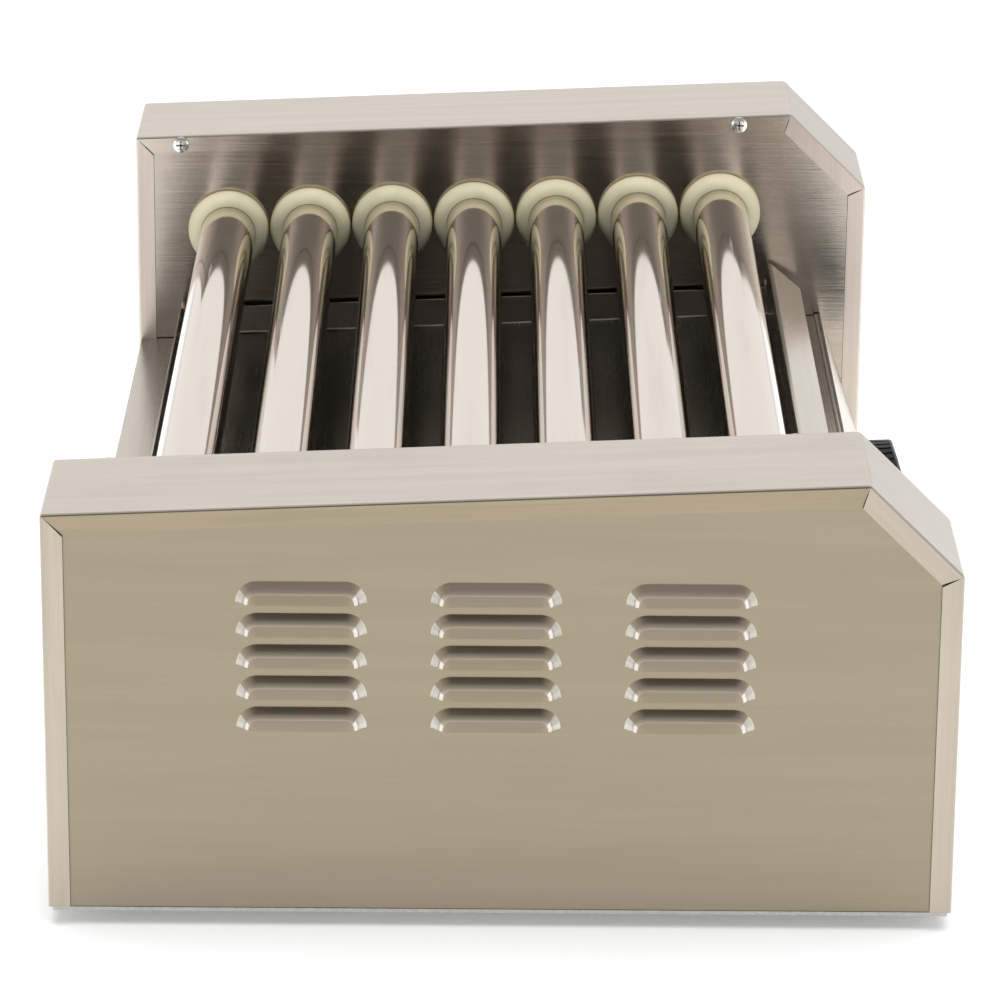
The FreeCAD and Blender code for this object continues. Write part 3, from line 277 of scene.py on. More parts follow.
class Shader:
    """The node tree of a material or of the world."""

    def __init__(self, owner):
        self.owner = owner
        owner.use_nodes = True
        self.tree = owner.node_tree
        self.tree.nodes.clear()

    def node(self, kind, settings=None, inputs=None, output=0):
        """Add a node: its settings first, then a value or a link for each named input."""
        made = self.tree.nodes.new(kind)
        for name, setting in (settings or {}).items():
            setattr(made, name, setting)
        for name, given in (inputs or {}).items():
            if isinstance(given, Value):
                self.tree.links.new(given.socket, made.inputs[name])
            else:
                made.inputs[name].default_value = given
        return Value(self, made.outputs[output]) if made.outputs else None

    def place(self, turn=(0, 0, 0), scale=(1, 1, 1)):
        """Object coordinates, turned and then stretched."""
        where = self.node("ShaderNodeTexCoord", output="Object")
        turned = self.node("ShaderNodeMapping", {}, {"Vector": where, "Rotation": turn})
        return self.node("ShaderNodeMapping", {}, {"Vector": turned, "Scale": scale})

    def noise(self, where, scale=1.0, detail=2.0, roughness=0.5):
        """Noise from 0 to 1."""
        return self.node("ShaderNodeTexNoise", {},
                         {"Vector": where, "Scale": scale, "Detail": detail, "Roughness": roughness})

    def mix(self, factor, first, second):
        """A colour between two colours."""
        return self.node("ShaderNodeMix", {"data_type": "RGBA"},
                         {0: factor, 6: first, 7: second}, output=2)

    def bump(self, height, strength, depth, rounding=0.0):
        """A surface's normal with some relief, over edges rounded by shading where asked."""
        inputs = {"Height": height, "Strength": strength, "Distance": depth}
        if rounding:
            inputs["Normal"] = self.node("ShaderNodeBevel", {"samples": 6}, {"Radius": rounding})
        return self.node("ShaderNodeBump", {}, inputs)

    def surface(self, **inputs):
        """Finish the material with one principled surface."""
        named = {name.replace("_", " "): given for name, given in inputs.items()}
        result = self.node("ShaderNodeBsdfPrincipled", {}, named)
        self.node("ShaderNodeOutputMaterial", {}, {"Surface": result})
        return self.owner


def rgba(colour, gain=1.0):
    """A colour with its alpha, made lighter or darker."""
    return (*(min(channel * gain, 1.0) for channel in colour), 1.0)


def brushed_steel(name, colour, grain="Y", turn=0.0, roughness=0.30, contrast=0.10, relief=0.25,
                  rounding=0.0):
    """Stainless steel brushed along one axis, with fine lines, faint bands and finger smudges."""
    shader = Shader(bpy.data.materials.new(name))
    along, across = 18.0, 1500.0
    fine = [across] * 3
    fine["XYZ".index(grain)] = along
    lines = shader.noise(shader.place((turn, 0, 0), fine), detail=3.0, roughness=0.65)
    broad = [across * 0.10] * 3
    broad["XYZ".index(grain)] = along * 0.35
    bands = shader.noise(shader.place((turn, 0, 0), broad), detail=2.0)
    smudges = shader.noise(shader.place(), scale=13.0, detail=4.0, roughness=0.6)
    tone = (lines - 0.5) * 0.9 + (bands - 0.5) * 0.8 + (smudges - 0.5) * 0.7 + 0.5
    metal = shader.mix(tone.between(0.05, 0.95), rgba(colour, 1 - contrast), rgba(colour, 1 + contrast))
    rough = (lines - 0.5) * 0.10 + (smudges - 0.5) * 0.12 + roughness
    return shader.surface(Base_Color=metal, Metallic=1.0, Roughness=rough,
                          Normal=shader.bump(lines, 1.0, relief * 0.04 * MM, rounding))


def polished_steel(name, colour):
    """Polished tube with faint turning rings, a trace of baked-on haze and painted shade darkening its
    ends next to the bushes.
    """
    shader = Shader(bpy.data.materials.new(name))
    rings = shader.noise(shader.place(scale=(900.0, 6.0, 6.0)), detail=2.0)
    haze = shader.noise(shader.place(scale=(0.12, 2.0, 2.0)), scale=60.0, detail=4.0, roughness=0.6)
    split = shader.node("ShaderNodeSeparateXYZ", {}, {0: shader.place()})
    # random haze, plus painted shade darkening the tube towards its ends next to the bushes
    haze_and_end_shade = haze.between(0.45, 0.80) + split.absolute().between(0.203, 0.218) * 0.5
    metal = shader.mix(haze_and_end_shade, rgba(colour, 1.02), rgba(colour, 0.93))
    rough = (rings - 0.5) * 0.03 + haze_and_end_shade * 0.04 + 0.07
    return shader.surface(Base_Color=metal, Metallic=1.0, Roughness=rough,
                          Normal=shader.bump(rings, 0.06, 0.00002))


def cream_plastic(name, colour):
    """Waxy moulded plastic, yellowed a little in patches."""
    shader = Shader(bpy.data.materials.new(name))
    patches = shader.noise(shader.place(), scale=60.0, detail=4.0)
    grit = shader.noise(shader.place(), scale=2600.0, detail=2.0)
    tint = shader.mix(patches.between(0.35, 0.75), rgba(colour), rgba(colour, 0.86))
    rough = (patches - 0.5) * 0.15 + 0.42
    return shader.surface(Base_Color=tint, Roughness=rough, Subsurface_Weight=0.12,
                          Subsurface_Scale=0.002, Subsurface_Radius=(1.0, 0.8, 0.4),
                          Normal=shader.bump(grit, 0.12, 0.00005))


def moulded_plastic(name, colour, roughness=0.42, texture=0.25, rounding=0.0):
    """Moulded plastic with a fine spark-eroded texture and handled patches."""
    shader = Shader(bpy.data.materials.new(name))
    grit = shader.noise(shader.place(), scale=3200.0, detail=3.0, roughness=0.6)
    wear = shader.noise(shader.place(), scale=90.0, detail=4.0)
    tint = shader.mix(wear.between(0.55, 0.85) * 0.5, rgba(colour), rgba([c + 0.02 for c in colour]))
    rough = (wear - 0.5) * -0.22 + (grit - 0.5) * 0.15 + roughness
    return shader.surface(Base_Color=tint, Roughness=rough,
                          Normal=shader.bump(grit, texture, 0.00008, rounding))


def coated_metal(name, colour, metallic=0.8, roughness=0.5, spangle=700.0):
    """Zinc-coated or cast metal with a mottled skin."""
    shader = Shader(bpy.data.materials.new(name))
    cells = shader.node("ShaderNodeTexVoronoi", {"feature": "F1"},
                        {"Vector": shader.place(), "Scale": spangle})
    cloud = shader.noise(shader.place(), scale=120.0, detail=4.0)
    tone = cells.between(0.1, 0.9) * 0.5 + cloud * 0.5
    tint = shader.mix(tone, rgba(colour, 0.85), rgba(colour, 1.15))
    rough = (cloud - 0.5) * 0.25 + roughness
    return shader.surface(Base_Color=tint, Metallic=metallic, Roughness=rough,
                          Normal=shader.bump(cloud, 0.2, 0.0001, 0.0004))


def ceramic(name, colour):
    """Glazed ceramic with faint speckles."""
    shader = Shader(bpy.data.materials.new(name))
    specks = shader.noise(shader.place(), scale=900.0, detail=3.0)
    tint = shader.mix(specks.between(0.62, 0.72), rgba(colour), rgba(colour, 0.7))
    return shader.surface(Base_Color=tint, Roughness=specks * 0.2 + 0.2, Coat_Weight=0.4,
                          Normal=shader.bump(specks, 0.1, 0.00005, 0.0003))


def lamp_lens(name, colour):
    """Clear coloured plastic of an indicator lamp, with moulded rings."""
    shader = Shader(bpy.data.materials.new(name))
    cloud = shader.noise(shader.place(), scale=300.0, detail=3.0)
    tint = shader.mix(cloud, rgba(colour), rgba(colour, 0.6))
    return shader.surface(Base_Color=tint, Roughness=cloud * 0.08 + 0.08, Coat_Weight=0.6,
                          Transmission_Weight=0.35, IOR=1.49,
                          Normal=shader.bump(cloud, 0.08, 0.0001))


def rubber(name, colour):
    """Dull rubber with dust in its pores."""
    shader = Shader(bpy.data.materials.new(name))
    pores = shader.noise(shader.place(), scale=1500.0, detail=4.0, roughness=0.7)
    dust = shader.noise(shader.place(), scale=150.0, detail=4.0)
    tint = shader.mix(dust.between(0.5, 0.8) * 0.4, rgba(colour), rgba((0.16, 0.15, 0.14)))
    return shader.surface(Base_Color=tint, Roughness=pores * 0.15 + 0.72,
                          Normal=shader.bump(pores, 0.35, 0.0001))


def painted_floor(name, colour):
    """Matt studio paint with the faintest roller texture."""
    shader = Shader(bpy.data.materials.new(name))
    cloud = shader.noise(shader.place(), scale=3.0, detail=3.0)
    nap = shader.noise(shader.place(), scale=400.0, detail=2.0)
    tint = shader.mix(cloud, rgba(colour, 0.985), rgba(colour, 1.01))
    return shader.surface(Base_Color=tint, Roughness=nap * 0.1 + 0.7, Specular_IOR_Level=0.2,
                          Emission_Color=(1, 1, 1, 1), Emission_Strength=0.17,
                          Normal=shader.bump(nap, 0.05, 0.0002))


# ---------------------------------------------------------------- modelling

def join(bm, part, matrix=Matrix.Identity(4)):
    """Put a part into a mesh at its place and leave nothing of the part behind."""
    part.transform(matrix)
    bmesh.ops.recalc_face_normals(part, faces=part.faces)
    mesh = bpy.data.meshes.new("part")
    part.to_mesh(mesh)
    part.free()
    bm.from_mesh(mesh)
    bpy.data.meshes.remove(mesh)


def spun(profile, steps, ring=False):
    """A shape turned about X from (along, radius) points; a ring's outline closes on itself."""
    part = bmesh.new()
    points = [part.verts.new((along, 0, radius)) for along, radius in profile]
    for first, second in zip(points, points[1:] + points[:1] if ring else points[1:]):
        part.edges.new((first, second))
    bmesh.ops.spin(part, geom=part.verts[:] + part.edges[:], cent=(0, 0, 0), axis=(1, 0, 0),
                   angle=math.tau, steps=steps, use_merge=True, use_duplicate=False)
    bmesh.ops.remove_doubles(part, verts=part.verts, dist=0.001 * MM)
    bmesh.ops.recalc_face_normals(part, faces=part.faces)
    return part


def arc(along, radius, size, first, last, steps=6):
    """Points on a rounding, between two angles in degrees measured from +along."""
    turns = [math.radians(first + (last - first) * i / steps) for i in range(steps + 1)]
    return [(along + size * math.cos(turn), radius + size * math.sin(turn)) for turn in turns]


def toward(origin, direction):
    """The placement whose X axis points a given way, with Z as near up as it can be."""
    forward = Vector(direction).normalized()
    across = Vector((0, 0, 1)).cross(forward).normalized()
    turned = Matrix((forward, across, forward.cross(across))).transposed()
    return Matrix.Translation(origin) @ turned.to_4x4()


def shade(bm, limit=math.radians(32)):
    """Smooth shading, with edges sharper than the limit kept crisp."""
    for face in bm.faces:
        face.smooth = True
    for edge in bm.edges:
        edge.smooth = edge.calc_face_angle(0.0) < limit


def finished(name, bm, body, materials, nodes=(), sheet=0.0, edge=0.0, cut_edges=False):
    """Make a mesh into a piece that rides on a body and stands for some of the frame's nodes."""
    shade(bm)
    mesh = bpy.data.meshes.new(name)
    bm.to_mesh(mesh)
    bm.free()
    for material in materials:
        mesh.materials.append(material)
    piece = bpy.data.objects.new(name, mesh)
    bpy.context.scene.collection.objects.link(piece)
    if sheet:
        thick = piece.modifiers.new("Sheet", "SOLIDIFY")
        thick.thickness = sheet
        thick.offset = -1
        thick.use_even_offset = True
        thick.material_offset_rim = len(materials) if cut_edges else 0
    if edge:
        softened = piece.modifiers.new("Edges", "BEVEL")
        softened.width = edge
        softened.segments = 2
        softened.limit_method = "ANGLE"
        softened.angle_limit = math.radians(50)
        softened.harden_normals = True
    if sheet:
        level = piece.modifiers.new("Flat faces", "WEIGHTED_NORMAL")
        level.keep_sharp = True
        level.weight = 100
    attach(piece, body)
    if nodes:
        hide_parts(*nodes)
    return piece


def paint(material, *nodes):
    """Give some of the frame's own nodes a material."""
    for name in nodes:
        piece = frame["nodes"][name]
        if not piece.material_slots:
            piece.data.materials.append(material)
        for slot in piece.material_slots:
            slot.material = material


def new_verts(result):
    """The vertices that an extrude made."""
    return [item for item in result["geom"] if isinstance(item, bmesh.types.BMVert)]


# ---------------------------------------------------------------- end housings

def side_outline(housing, inset):
    """Corners (y, z) of a housing's side, drawn in by an inset, from the back's foot to the front's."""
    low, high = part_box("left_end_band")
    slope = math.tan(LEAN)
    steep = housing.chamfer_drop / housing.chamfer_depth
    flat_inset = inset / math.cos(LEAN)
    steep_inset = inset / math.cos(math.atan(steep))
    shift = (flat_inset - steep_inset) / (slope + steep)
    corner = low.y + housing.chamfer_depth
    back_top = high.z - (high.y - inset - corner) * slope - flat_inset
    front_top = high.z - (housing.chamfer_depth - inset) * steep - steep_inset
    return [
        (high.y - inset, low.z),
        (high.y - inset, back_top),
        (corner - shift, high.z + shift * slope - flat_inset),
        (low.y + inset, front_top),
        (low.y + inset, low.z),
    ]


def bent_cover(housing, low_x, high_x):
    """An end housing's cover: four folded faces with mitred flanges, one sheet thick."""
    part = bmesh.new()
    outer = side_outline(housing, 0.0)
    inner = side_outline(housing, housing.flange)
    path = [part.verts.new((low_x, y, z)) for y, z in outer]
    spine = [part.edges.new(pair) for pair in zip(path, path[1:])]
    swept = bmesh.ops.extrude_edge_only(part, edges=spine)
    bmesh.ops.translate(part, vec=(high_x - low_x, 0, 0), verts=new_verts(swept))
    for number, face in enumerate(part.faces):
        face.material_index = COVER_FACES[segment_of(outer, face)]
    folds = [edge for edge in part.edges if len(edge.link_faces) == 2]
    rims = [edge for edge in part.edges if edge.is_boundary
            and abs(edge.verts[0].co.x - edge.verts[1].co.x) < MM / 10]
    bends = folds + rims
    for rim in rims:
        segment = segment_of(outer, rim.link_faces[0])
        ends = {corner: Vector((0, *outer[corner])) for corner in (segment, segment + 1)}
        made = bmesh.ops.extrude_edge_only(part, edges=[rim])
        run = (ends[segment + 1] - ends[segment]).normalized()
        for vert in new_verts(made):
            here = Vector((0, vert.co.y, vert.co.z))
            corner = min(ends, key=lambda index: (ends[index] - here).length)
            at_foot = corner in (0, len(outer) - 1)
            pull = 0.0 if at_foot else housing.mitre_gap / 2
            step = run * (pull if corner == segment else -pull)
            vert.co.yz = inner[corner][0] + step.y, inner[corner][1] + step.z
        for item in made["geom"]:
            if isinstance(item, bmesh.types.BMFace):
                by_rollers = abs(item.calc_center_median().x) < abs(low_x + high_x) / 2
                item.material_index = (INNER_FACES if by_rollers else FLANGE_FACES)[segment]
    bmesh.ops.recalc_face_normals(part, faces=part.faces)
    middle = max(part.faces, key=lambda face: face.calc_area())
    if middle.normal.z < 0:
        bmesh.ops.reverse_faces(part, faces=part.faces)
    bmesh.ops.bevel(part, geom=bends, offset=housing.bend, affect="EDGES", segments=4, profile=0.5,
                    material=-1, offset_type="OFFSET", clamp_overlap=True)
    return part


# material of each of a cover's segments, from the back to the front, on its web, on its outer flange and
# on the flange by the rollers; the sheet's cut edges take the last material
# the chamfer's and the flanges' tints are painted shade and painted light on the one stainless sheet, and
# the cut edges' near-black is a painted shadow line
COVER_FACES = (0, 1, 2, 0)
FLANGE_FACES = (3, 4, 5, 3)
INNER_FACES = (7, 6, 7, 7)


def segment_of(outline, face):
    """Which stretch of an outline a face lies along."""
    middle = face.calc_center_median()
    spots = [((a[0] + b[0]) / 2, (a[1] + b[1]) / 2) for a, b in zip(outline, outline[1:])]
    return min(range(len(spots)), key=lambda i: (middle.yz - Vector(spots[i])).length)


class GRILL_OT_end_housings(bpy.types.Operator):
    """Model the bent covers of both end housings"""
    bl_idname = "grill.end_housings"
    bl_label = "End housings"

    def execute(self, context):
        housing = context.scene.grill_housing
        finish = context.scene.grill_finish
        chamfer = math.atan2(housing.chamfer_drop, housing.chamfer_depth)
        # one stainless sheet: the chamfer's and outer flanges' colours are painted shade, the flanges by
        # the rollers' painted light
        materials = [
            brushed_steel("cover_upright", finish.top, "Z"),
            brushed_steel("cover_top", finish.top, "Y", LEAN),
            brushed_steel("cover_chamfer", finish.chamfer, "Y", -chamfer),
            brushed_steel("flange_upright", finish.strip, "Z"),
            brushed_steel("flange_top", finish.rim, "Y", LEAN),
            brushed_steel("flange_chamfer", finish.strip, "Y", -chamfer),
            brushed_steel("flange_inner", finish.inside, "Y", roughness=0.15, relief=1.1),
            brushed_steel("flange_outlet", finish.outlet, "Z"),
            # painted shadow line on the sheet's cut edges
            brushed_steel("sheet_edge_shadow", finish.edge, "Y", roughness=0.5),
        ]
        for side in SIDES:
            low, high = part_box(f"{side}_end_band")
            finished(f"{side}_housing_cover", bent_cover(housing, low.x, high.x), BODY,
                     materials, [f"{side}_end_band"], sheet=housing.sheet, edge=CUT_EDGE, cut_edges=True)
        return {"FINISHED"}


def louvre_section(louvres):
    """A hood's section as (out, up) points, from the panel over the rounded shoulder to its open edge."""
    root, tip = Vector((0, louvres.rise)), Vector((louvres.reach, 0))
    shoulder = Vector((louvres.shoulder_out, louvres.shoulder_up))
    before, after = root.lerp(shoulder, 0.65), shoulder.lerp(tip, 0.25)
    rounding = [before.lerp(shoulder, i / 6).lerp(shoulder.lerp(after, i / 6), i / 6) for i in range(7)]
    return [root, *rounding, tip]


def press_louvre(part, louvres, face, sign, y, z):
    """One louvre's hood: its section run along the louvre and turned down at both ends."""
    section = louvre_section(louvres)
    quarter = [math.pi / 2 * i / 10 for i in range(11)]
    stations = [(-1, turn) for turn in reversed(quarter)] + [(1, turn) for turn in quarter]
    rows = []
    for end, turn in stations:
        # the shoulder draws in towards the ends, where the metal slopes more gently
        draw = 1 - louvres.end_draw * math.sin(turn) ** 2
        row = []
        for number, (out, up) in enumerate(section):
            up = up * (draw if number else 1.0)
            along = y + end * (louvres.length / 2 + up * math.sin(turn))
            row.append(part.verts.new((sign * (face + out), along, z + up * math.cos(turn))))
        rows.append(row)
    for (first, second), (end, turn) in zip(zip(rows, rows[1:]), stations):
        for number in range(len(section) - 1):
            made = part.faces.new((first[number], first[number + 1], second[number + 1], second[number]))
            # the hood's upper faces take the painted light of the slopes, and past the highlight turn the
            # painted highlight of the ends
            if number < len(section) - 2:
                made.material_index = 2 if turn > HIGHLIGHT_TURN else 1
    root = [row[0] for row in rows]
    return [part.edges.get(pair) or part.edges.new(pair) for pair in zip(root, root[1:] + root[:1])]


class GRILL_OT_louvred_panels(bpy.types.Operator):
    """Model the louvred panels in both end housings"""
    bl_idname = "grill.louvred_panels"
    bl_label = "Louvred panels"

    def execute(self, context):
        housing = context.scene.grill_housing
        louvres = context.scene.grill_louvres
        finish = context.scene.grill_finish
        # the panel's colour is painted shade, a darker copy of the covers' stainless
        steel = brushed_steel("louvre_panel", finish.panel, "Y", roughness=0.33, contrast=0.05,
                              rounding=0.5 * MM)
        # painted light on the hoods' upper slopes
        slope = brushed_steel("louvre_slope_lightened", finish.slope, "Y", roughness=0.55, contrast=0.05)
        # painted highlight on the hoods' rounded ends
        end_highlight = brushed_steel("louvre_end_highlight", finish.end_highlight, "Y", roughness=0.30, contrast=0.05,
                                rounding=0.5 * MM)
        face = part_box("right_louvre_panel")[1].x - louvres.reach
        for side, sign in SIDES.items():
            part = bmesh.new()
            rim = [part.verts.new((sign * face, y, z)) for y, z in side_outline(housing, louvres.inset)]
            edges = [part.edges.new(pair) for pair in zip(rim, rim[1:] + rim[:1])]
            for column in range(louvres.columns):
                middle = louvres.first_y + column * louvres.pitch_y
                for row in range(louvres.rows):
                    foot = louvres.first_z + row * louvres.pitch_z
                    edges += press_louvre(part, louvres, face, sign, middle, foot)
            bmesh.ops.triangle_fill(part, use_beauty=True, edges=edges, normal=(sign, 0, 0))
            bmesh.ops.remove_doubles(part, verts=part.verts, dist=0.01 * MM)
            bmesh.ops.recalc_face_normals(part, faces=part.faces)
            if max(part.faces, key=lambda item: item.calc_area()).normal.x * sign < 0:
                bmesh.ops.reverse_faces(part, faces=part.faces)
            finished(f"{side}_louvred_panel", part, BODY, [steel, slope, end_highlight],
                     [f"{side}_louvre_panel"], sheet=louvres.sheet, edge=0.1 * MM)
        return {"FINISHED"}


# ---------------------------------------------------------------- rollers and bushes

class GRILL_OT_rollers(bpy.types.Operator):
    """Model the seven polished roller tubes"""
    bl_idname = "grill.rollers"
    bl_label = "Rollers"

    def execute(self, context):
        rollers = context.scene.grill_rollers
        chrome = polished_steel("roller_polish", context.scene.grill_finish.chrome)
        for number in ROLLERS:
            low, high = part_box(f"roller_{number}")
            radius = (high.z - low.z) / 2
            inner = radius - rollers.wall
            soft = 0.4 * MM
            profile = [(low.x, inner + soft), (low.x, radius - soft), (low.x + soft, radius),
                       (high.x - soft, radius), (high.x, radius - soft), (high.x, inner + soft),
                       (high.x - soft, inner), (low.x + soft, inner)]
            bm = bmesh.new()
            axis = centre(f"roller_{number}")
            join(bm, spun(profile, rollers.steps, ring=True), Matrix.Translation((0, axis.y, axis.z)))
            finished(f"roller_tube_{number}", bm, f"roller_{number}_body", [chrome],
                     [f"roller_{number}"])
        return {"FINISHED"}


class GRILL_OT_bushes(bpy.types.Operator):
    """Model the cream bushes that the rollers turn in"""
    bl_idname = "grill.bushes"
    bl_label = "Bushes"

    def execute(self, context):
        rollers = context.scene.grill_rollers
        cream = cream_plastic("bush_cream", context.scene.grill_finish.cream)
        low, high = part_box("right_bushes")
        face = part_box("right_bulkhead")[0].x
        reach = face - low.x
        tail = high.x - face
        roller_low, roller_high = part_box("roller_4")
        bore = (roller_high.z - roller_low.z) / 2 + rollers.clearance
        outer = (high.y - low.y - (BACK_AXIS.y - FRONT_AXIS.y)) / 2
        lip = rollers.bush_lip
        dome, back, spigot = outer - bore - lip, rollers.bush_back, bore + rollers.spigot
        profile = [(tail, bore), (tail, spigot - lip), (tail - lip, spigot), (0, spigot),
                   (0, outer - back)]
        profile += arc(-back, outer - back, back, 0, 90)[1:]
        profile += arc(dome - reach, outer - dome, dome, 90, 180, 14)
        profile += [(2 * lip - reach, bore)]
        for side, sign in SIDES.items():
            bm = bmesh.new()
            for number in ROLLERS:
                axis = centre(f"roller_{number}")
                seat = Matrix.Translation((sign * face, axis.y, axis.z))
                placed = seat @ Matrix.Diagonal((sign, 1, 1, 1))
                join(bm, spun(profile, 64, ring=True), placed)
            finished(f"{side}_roller_bushes", bm, BODY, [cream], [f"{side}_bushes"])
        return {"FINISHED"}


# ---------------------------------------------------------------- drip tray

class GRILL_OT_drip_tray(bpy.types.Operator):
    """Model the drip tray with its folded walls and handle lip"""
    bl_idname = "grill.drip_tray"
    bl_label = "Drip tray"

    def execute(self, context):
        tray = context.scene.grill_tray
        level = ROW.inverted()
        node = frame["nodes"]["drip_tray"]
        places = [level @ vert.co for vert in node.data.vertices]
        half = max(place.x for place in places)
        bottom = min(place.z for place in places)
        back = max(place.y for place in places)
        drop = tray.lip * math.sin(tray.lip_angle + LEAN)
        out = tray.lip * math.cos(tray.lip_angle + LEAN)
        front = min(place.y for place in places) + out
        top = bottom + tray.front_wall - tray.sheet
        part = bmesh.new()
        bmesh.ops.create_grid(part, x_segments=1, y_segments=1, size=1.0)
        for vert in part.verts:
            vert.co = (half * vert.co.x, back if vert.co.y > 0 else front, bottom)
        base = part.edges[:]
        walls = bmesh.ops.extrude_edge_only(part, edges=base)
        bmesh.ops.translate(part, vec=(0, 0, tray.wall), verts=new_verts(walls))
        corners = [edge for edge in part.edges if abs(edge.verts[0].co.z - edge.verts[1].co.z) > MM]
        rim = [edge for edge in part.edges if edge.is_boundary
               and all(abs(vert.co.y - front) < MM for vert in edge.verts)]
        raised = bmesh.ops.extrude_edge_only(part, edges=rim)
        for vert in new_verts(raised):
            vert.co.z = top
        fold = [edge for edge in part.edges if all(abs(vert.co.z - top) < MM / 10 for vert in edge.verts)]
        lip = bmesh.ops.extrude_edge_only(part, edges=fold)
        for vert in new_verts(lip):
            vert.co = (vert.co.x - math.copysign(tray.corner, vert.co.x), front - out, top - drop)
        bmesh.ops.recalc_face_normals(part, faces=part.faces)
        if max(part.faces, key=lambda face: face.calc_area()).normal.z > 0:
            bmesh.ops.reverse_faces(part, faces=part.faces)
        # the floor's faces take the painted shade
        for face in part.faces:
            face.material_index = 1 if all(vert.co.z < bottom + MM for vert in face.verts) else 0
        bends = base + corners + fold
        bmesh.ops.bevel(part, geom=bends, offset=tray.bend, affect="EDGES", segments=4, profile=0.5,
                        material=-1, offset_type="OFFSET", clamp_overlap=True)
        part.transform(ROW)
        finish = context.scene.grill_finish
        steel = brushed_steel("tray_steel", finish.inside, "X", roughness=0.24, contrast=0.08)
        # painted shade on the tray's floor
        shaded_floor = brushed_steel("tray_floor_painted_shade", finish.tray, "X", roughness=0.26, contrast=0.25)
        finished("tray_pan", part, "tray", [steel, shaded_floor], ["drip_tray"],
                 sheet=tray.sheet, edge=CUT_EDGE)
        return {"FINISHED"}


# ---------------------------------------------------------------- controls

def ribbed_knob(knob):
    """A knob whose tapered grip is cut with flutes, along X away from the panel."""
    base = knob.face_radius + (knob.reach - knob.gap - knob.skirt) * math.tan(knob.taper)
    step = knob.gap + knob.skirt
    soft = 0.8 * MM
    slant = math.tan(knob.taper)
    crown = knob.reach - soft
    dish = knob.reach - DISH_DEPTH
    profile = [(knob.gap, 3.1 * MM), (knob.gap, base + 0.5 * MM), (knob.gap + 0.3 * MM, base + 0.8 * MM),
               (step - 0.3 * MM, base + 0.5 * MM), (step, base + 0.2 * MM), (step, base - 0.05 * MM),
               (crown, knob.face_radius + soft * slant)]
    profile += arc(crown, knob.face_radius - soft, soft, 75, 0, 4)
    profile += [(knob.reach, knob.face_radius * 0.84), (dish, knob.face_radius * 0.80), (dish, 0.0)]
    part = spun(profile, 3 * knob.flutes)
    grip = [face for face in part.faces if step < face.calc_center_median().x < crown
            and face.calc_area() > 10 * MM * MM and face.normal.x > 0.1]
    grip.sort(key=lambda face: math.atan2(face.calc_center_median().y, face.calc_center_median().z))
    bmesh.ops.inset_individual(part, faces=grip[::3], thickness=0.12 * MM, depth=-knob.flute_depth)
    return part


def pointer(knob):
    """The tapered pointer laid in a knob's dished face, towards the knob's own top."""
    part = bmesh.new()
    bmesh.ops.create_cube(part, size=1.0)
    dish = knob.reach - DISH_DEPTH
    for vert in part.verts:
        narrow = 0.6 if vert.co.z > 0 else 1.0
        vert.co = (dish + (0.45 if vert.co.x > 0 else -0.4) * MM, vert.co.y * 2.2 * MM * narrow,
                   (11.5 if vert.co.z > 0 else 3.0) * MM)
    bmesh.ops.bevel(part, geom=part.edges[:], offset=0.25 * MM, affect="EDGES", segments=2, profile=0.5,
                    material=-1, offset_type="OFFSET", clamp_overlap=True)
    return part


class GRILL_OT_controls(bpy.types.Operator):
    """Model the knobs and their pointers, and finish the switch, the cable gland, the thermostats and the
    lamps
    """
    bl_idname = "grill.controls"
    bl_label = "Controls"

    def execute(self, context):
        knob = context.scene.grill_knobs
        finish = context.scene.grill_finish
        black = moulded_plastic("knob_plastic", finish.black, 0.38)
        white = moulded_plastic("pointer_paint", (0.75, 0.74, 0.70), 0.5)
        for side in SIDES:
            turn = joint(f"{side}_knob_turn")
            placed = toward(turn["pos_m"], [-part for part in turn["axis"]])
            bm = bmesh.new()
            join(bm, ribbed_knob(knob), placed)
            finished(f"{side}_ribbed_knob", bm, f"{side}_control", [black],
                     [f"{side}_knob"])
            bm = bmesh.new()
            join(bm, pointer(knob), placed)
            finished(f"{side}_knob_pointer", bm, f"{side}_control", [white])
        dark = moulded_plastic("fitting_plastic", (0.022, 0.022, 0.023), 0.45, rounding=0.5 * MM)
        paint(dark, "switch_housing", "cable_gland", "left_thermostat", "right_thermostat")
        paint(moulded_plastic("rocker_plastic", finish.black, 0.3, rounding=0.6 * MM), "switch_rocker")
        paint(lamp_lens("lamp_red", (0.55, 0.02, 0.015)), "left_lamp", "right_lamp")
        return {"FINISHED"}


# ---------------------------------------------------------------- sheet metal, drive and fixings

class GRILL_OT_chassis(bpy.types.Operator):
    """Finish the bulkheads, the deck, the panels and the base plate"""
    bl_idname = "grill.chassis"
    bl_label = "Chassis sheets"

    def execute(self, context):
        finish = context.scene.grill_finish
        inside = brushed_steel("bulkhead_steel", finish.inside, "Y", roughness=0.15, contrast=0.08,
                               relief=1.1, rounding=0.3 * MM)
        paint(inside, "left_bulkhead", "right_bulkhead")
        shelf = brushed_steel("shelf_steel", finish.shelf, "X", roughness=0.28, relief=0.08,
                              rounding=0.4 * MM)
        paint(shelf, "deck", "rear_panel", "control_panel")
        paint(coated_metal("base_zinc", finish.zinc), "base_pan")
        self.fold_hem(context.scene.grill_chassis, finish)
        return {"FINISHED"}

    def fold_hem(self, chassis, finish):
        """The hem behind the control panel's top edge, which closes the seam under the tray's path."""
        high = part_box("control_panel")[1]
        top = high.z - chassis.hem_drop
        part = bmesh.new()
        bmesh.ops.create_cube(part, size=1.0)
        for vert in part.verts:
            vert.co = ((high.x - chassis.hem_inset) * 2 * vert.co.x,
                       high.y + (chassis.hem_back if vert.co.y > 0 else 0.0),
                       top - (0.0 if vert.co.z > 0 else chassis.hem_sheet))
        bmesh.ops.bevel(part, geom=part.edges[:], offset=0.2 * chassis.hem_sheet, affect="EDGES",
                        segments=3, profile=0.5, material=-1, offset_type="OFFSET", clamp_overlap=True)
        steel = brushed_steel("hem_steel", finish.shelf, "X", roughness=0.28, relief=0.08)
        finished("control_panel_hem", part, BODY, [steel])


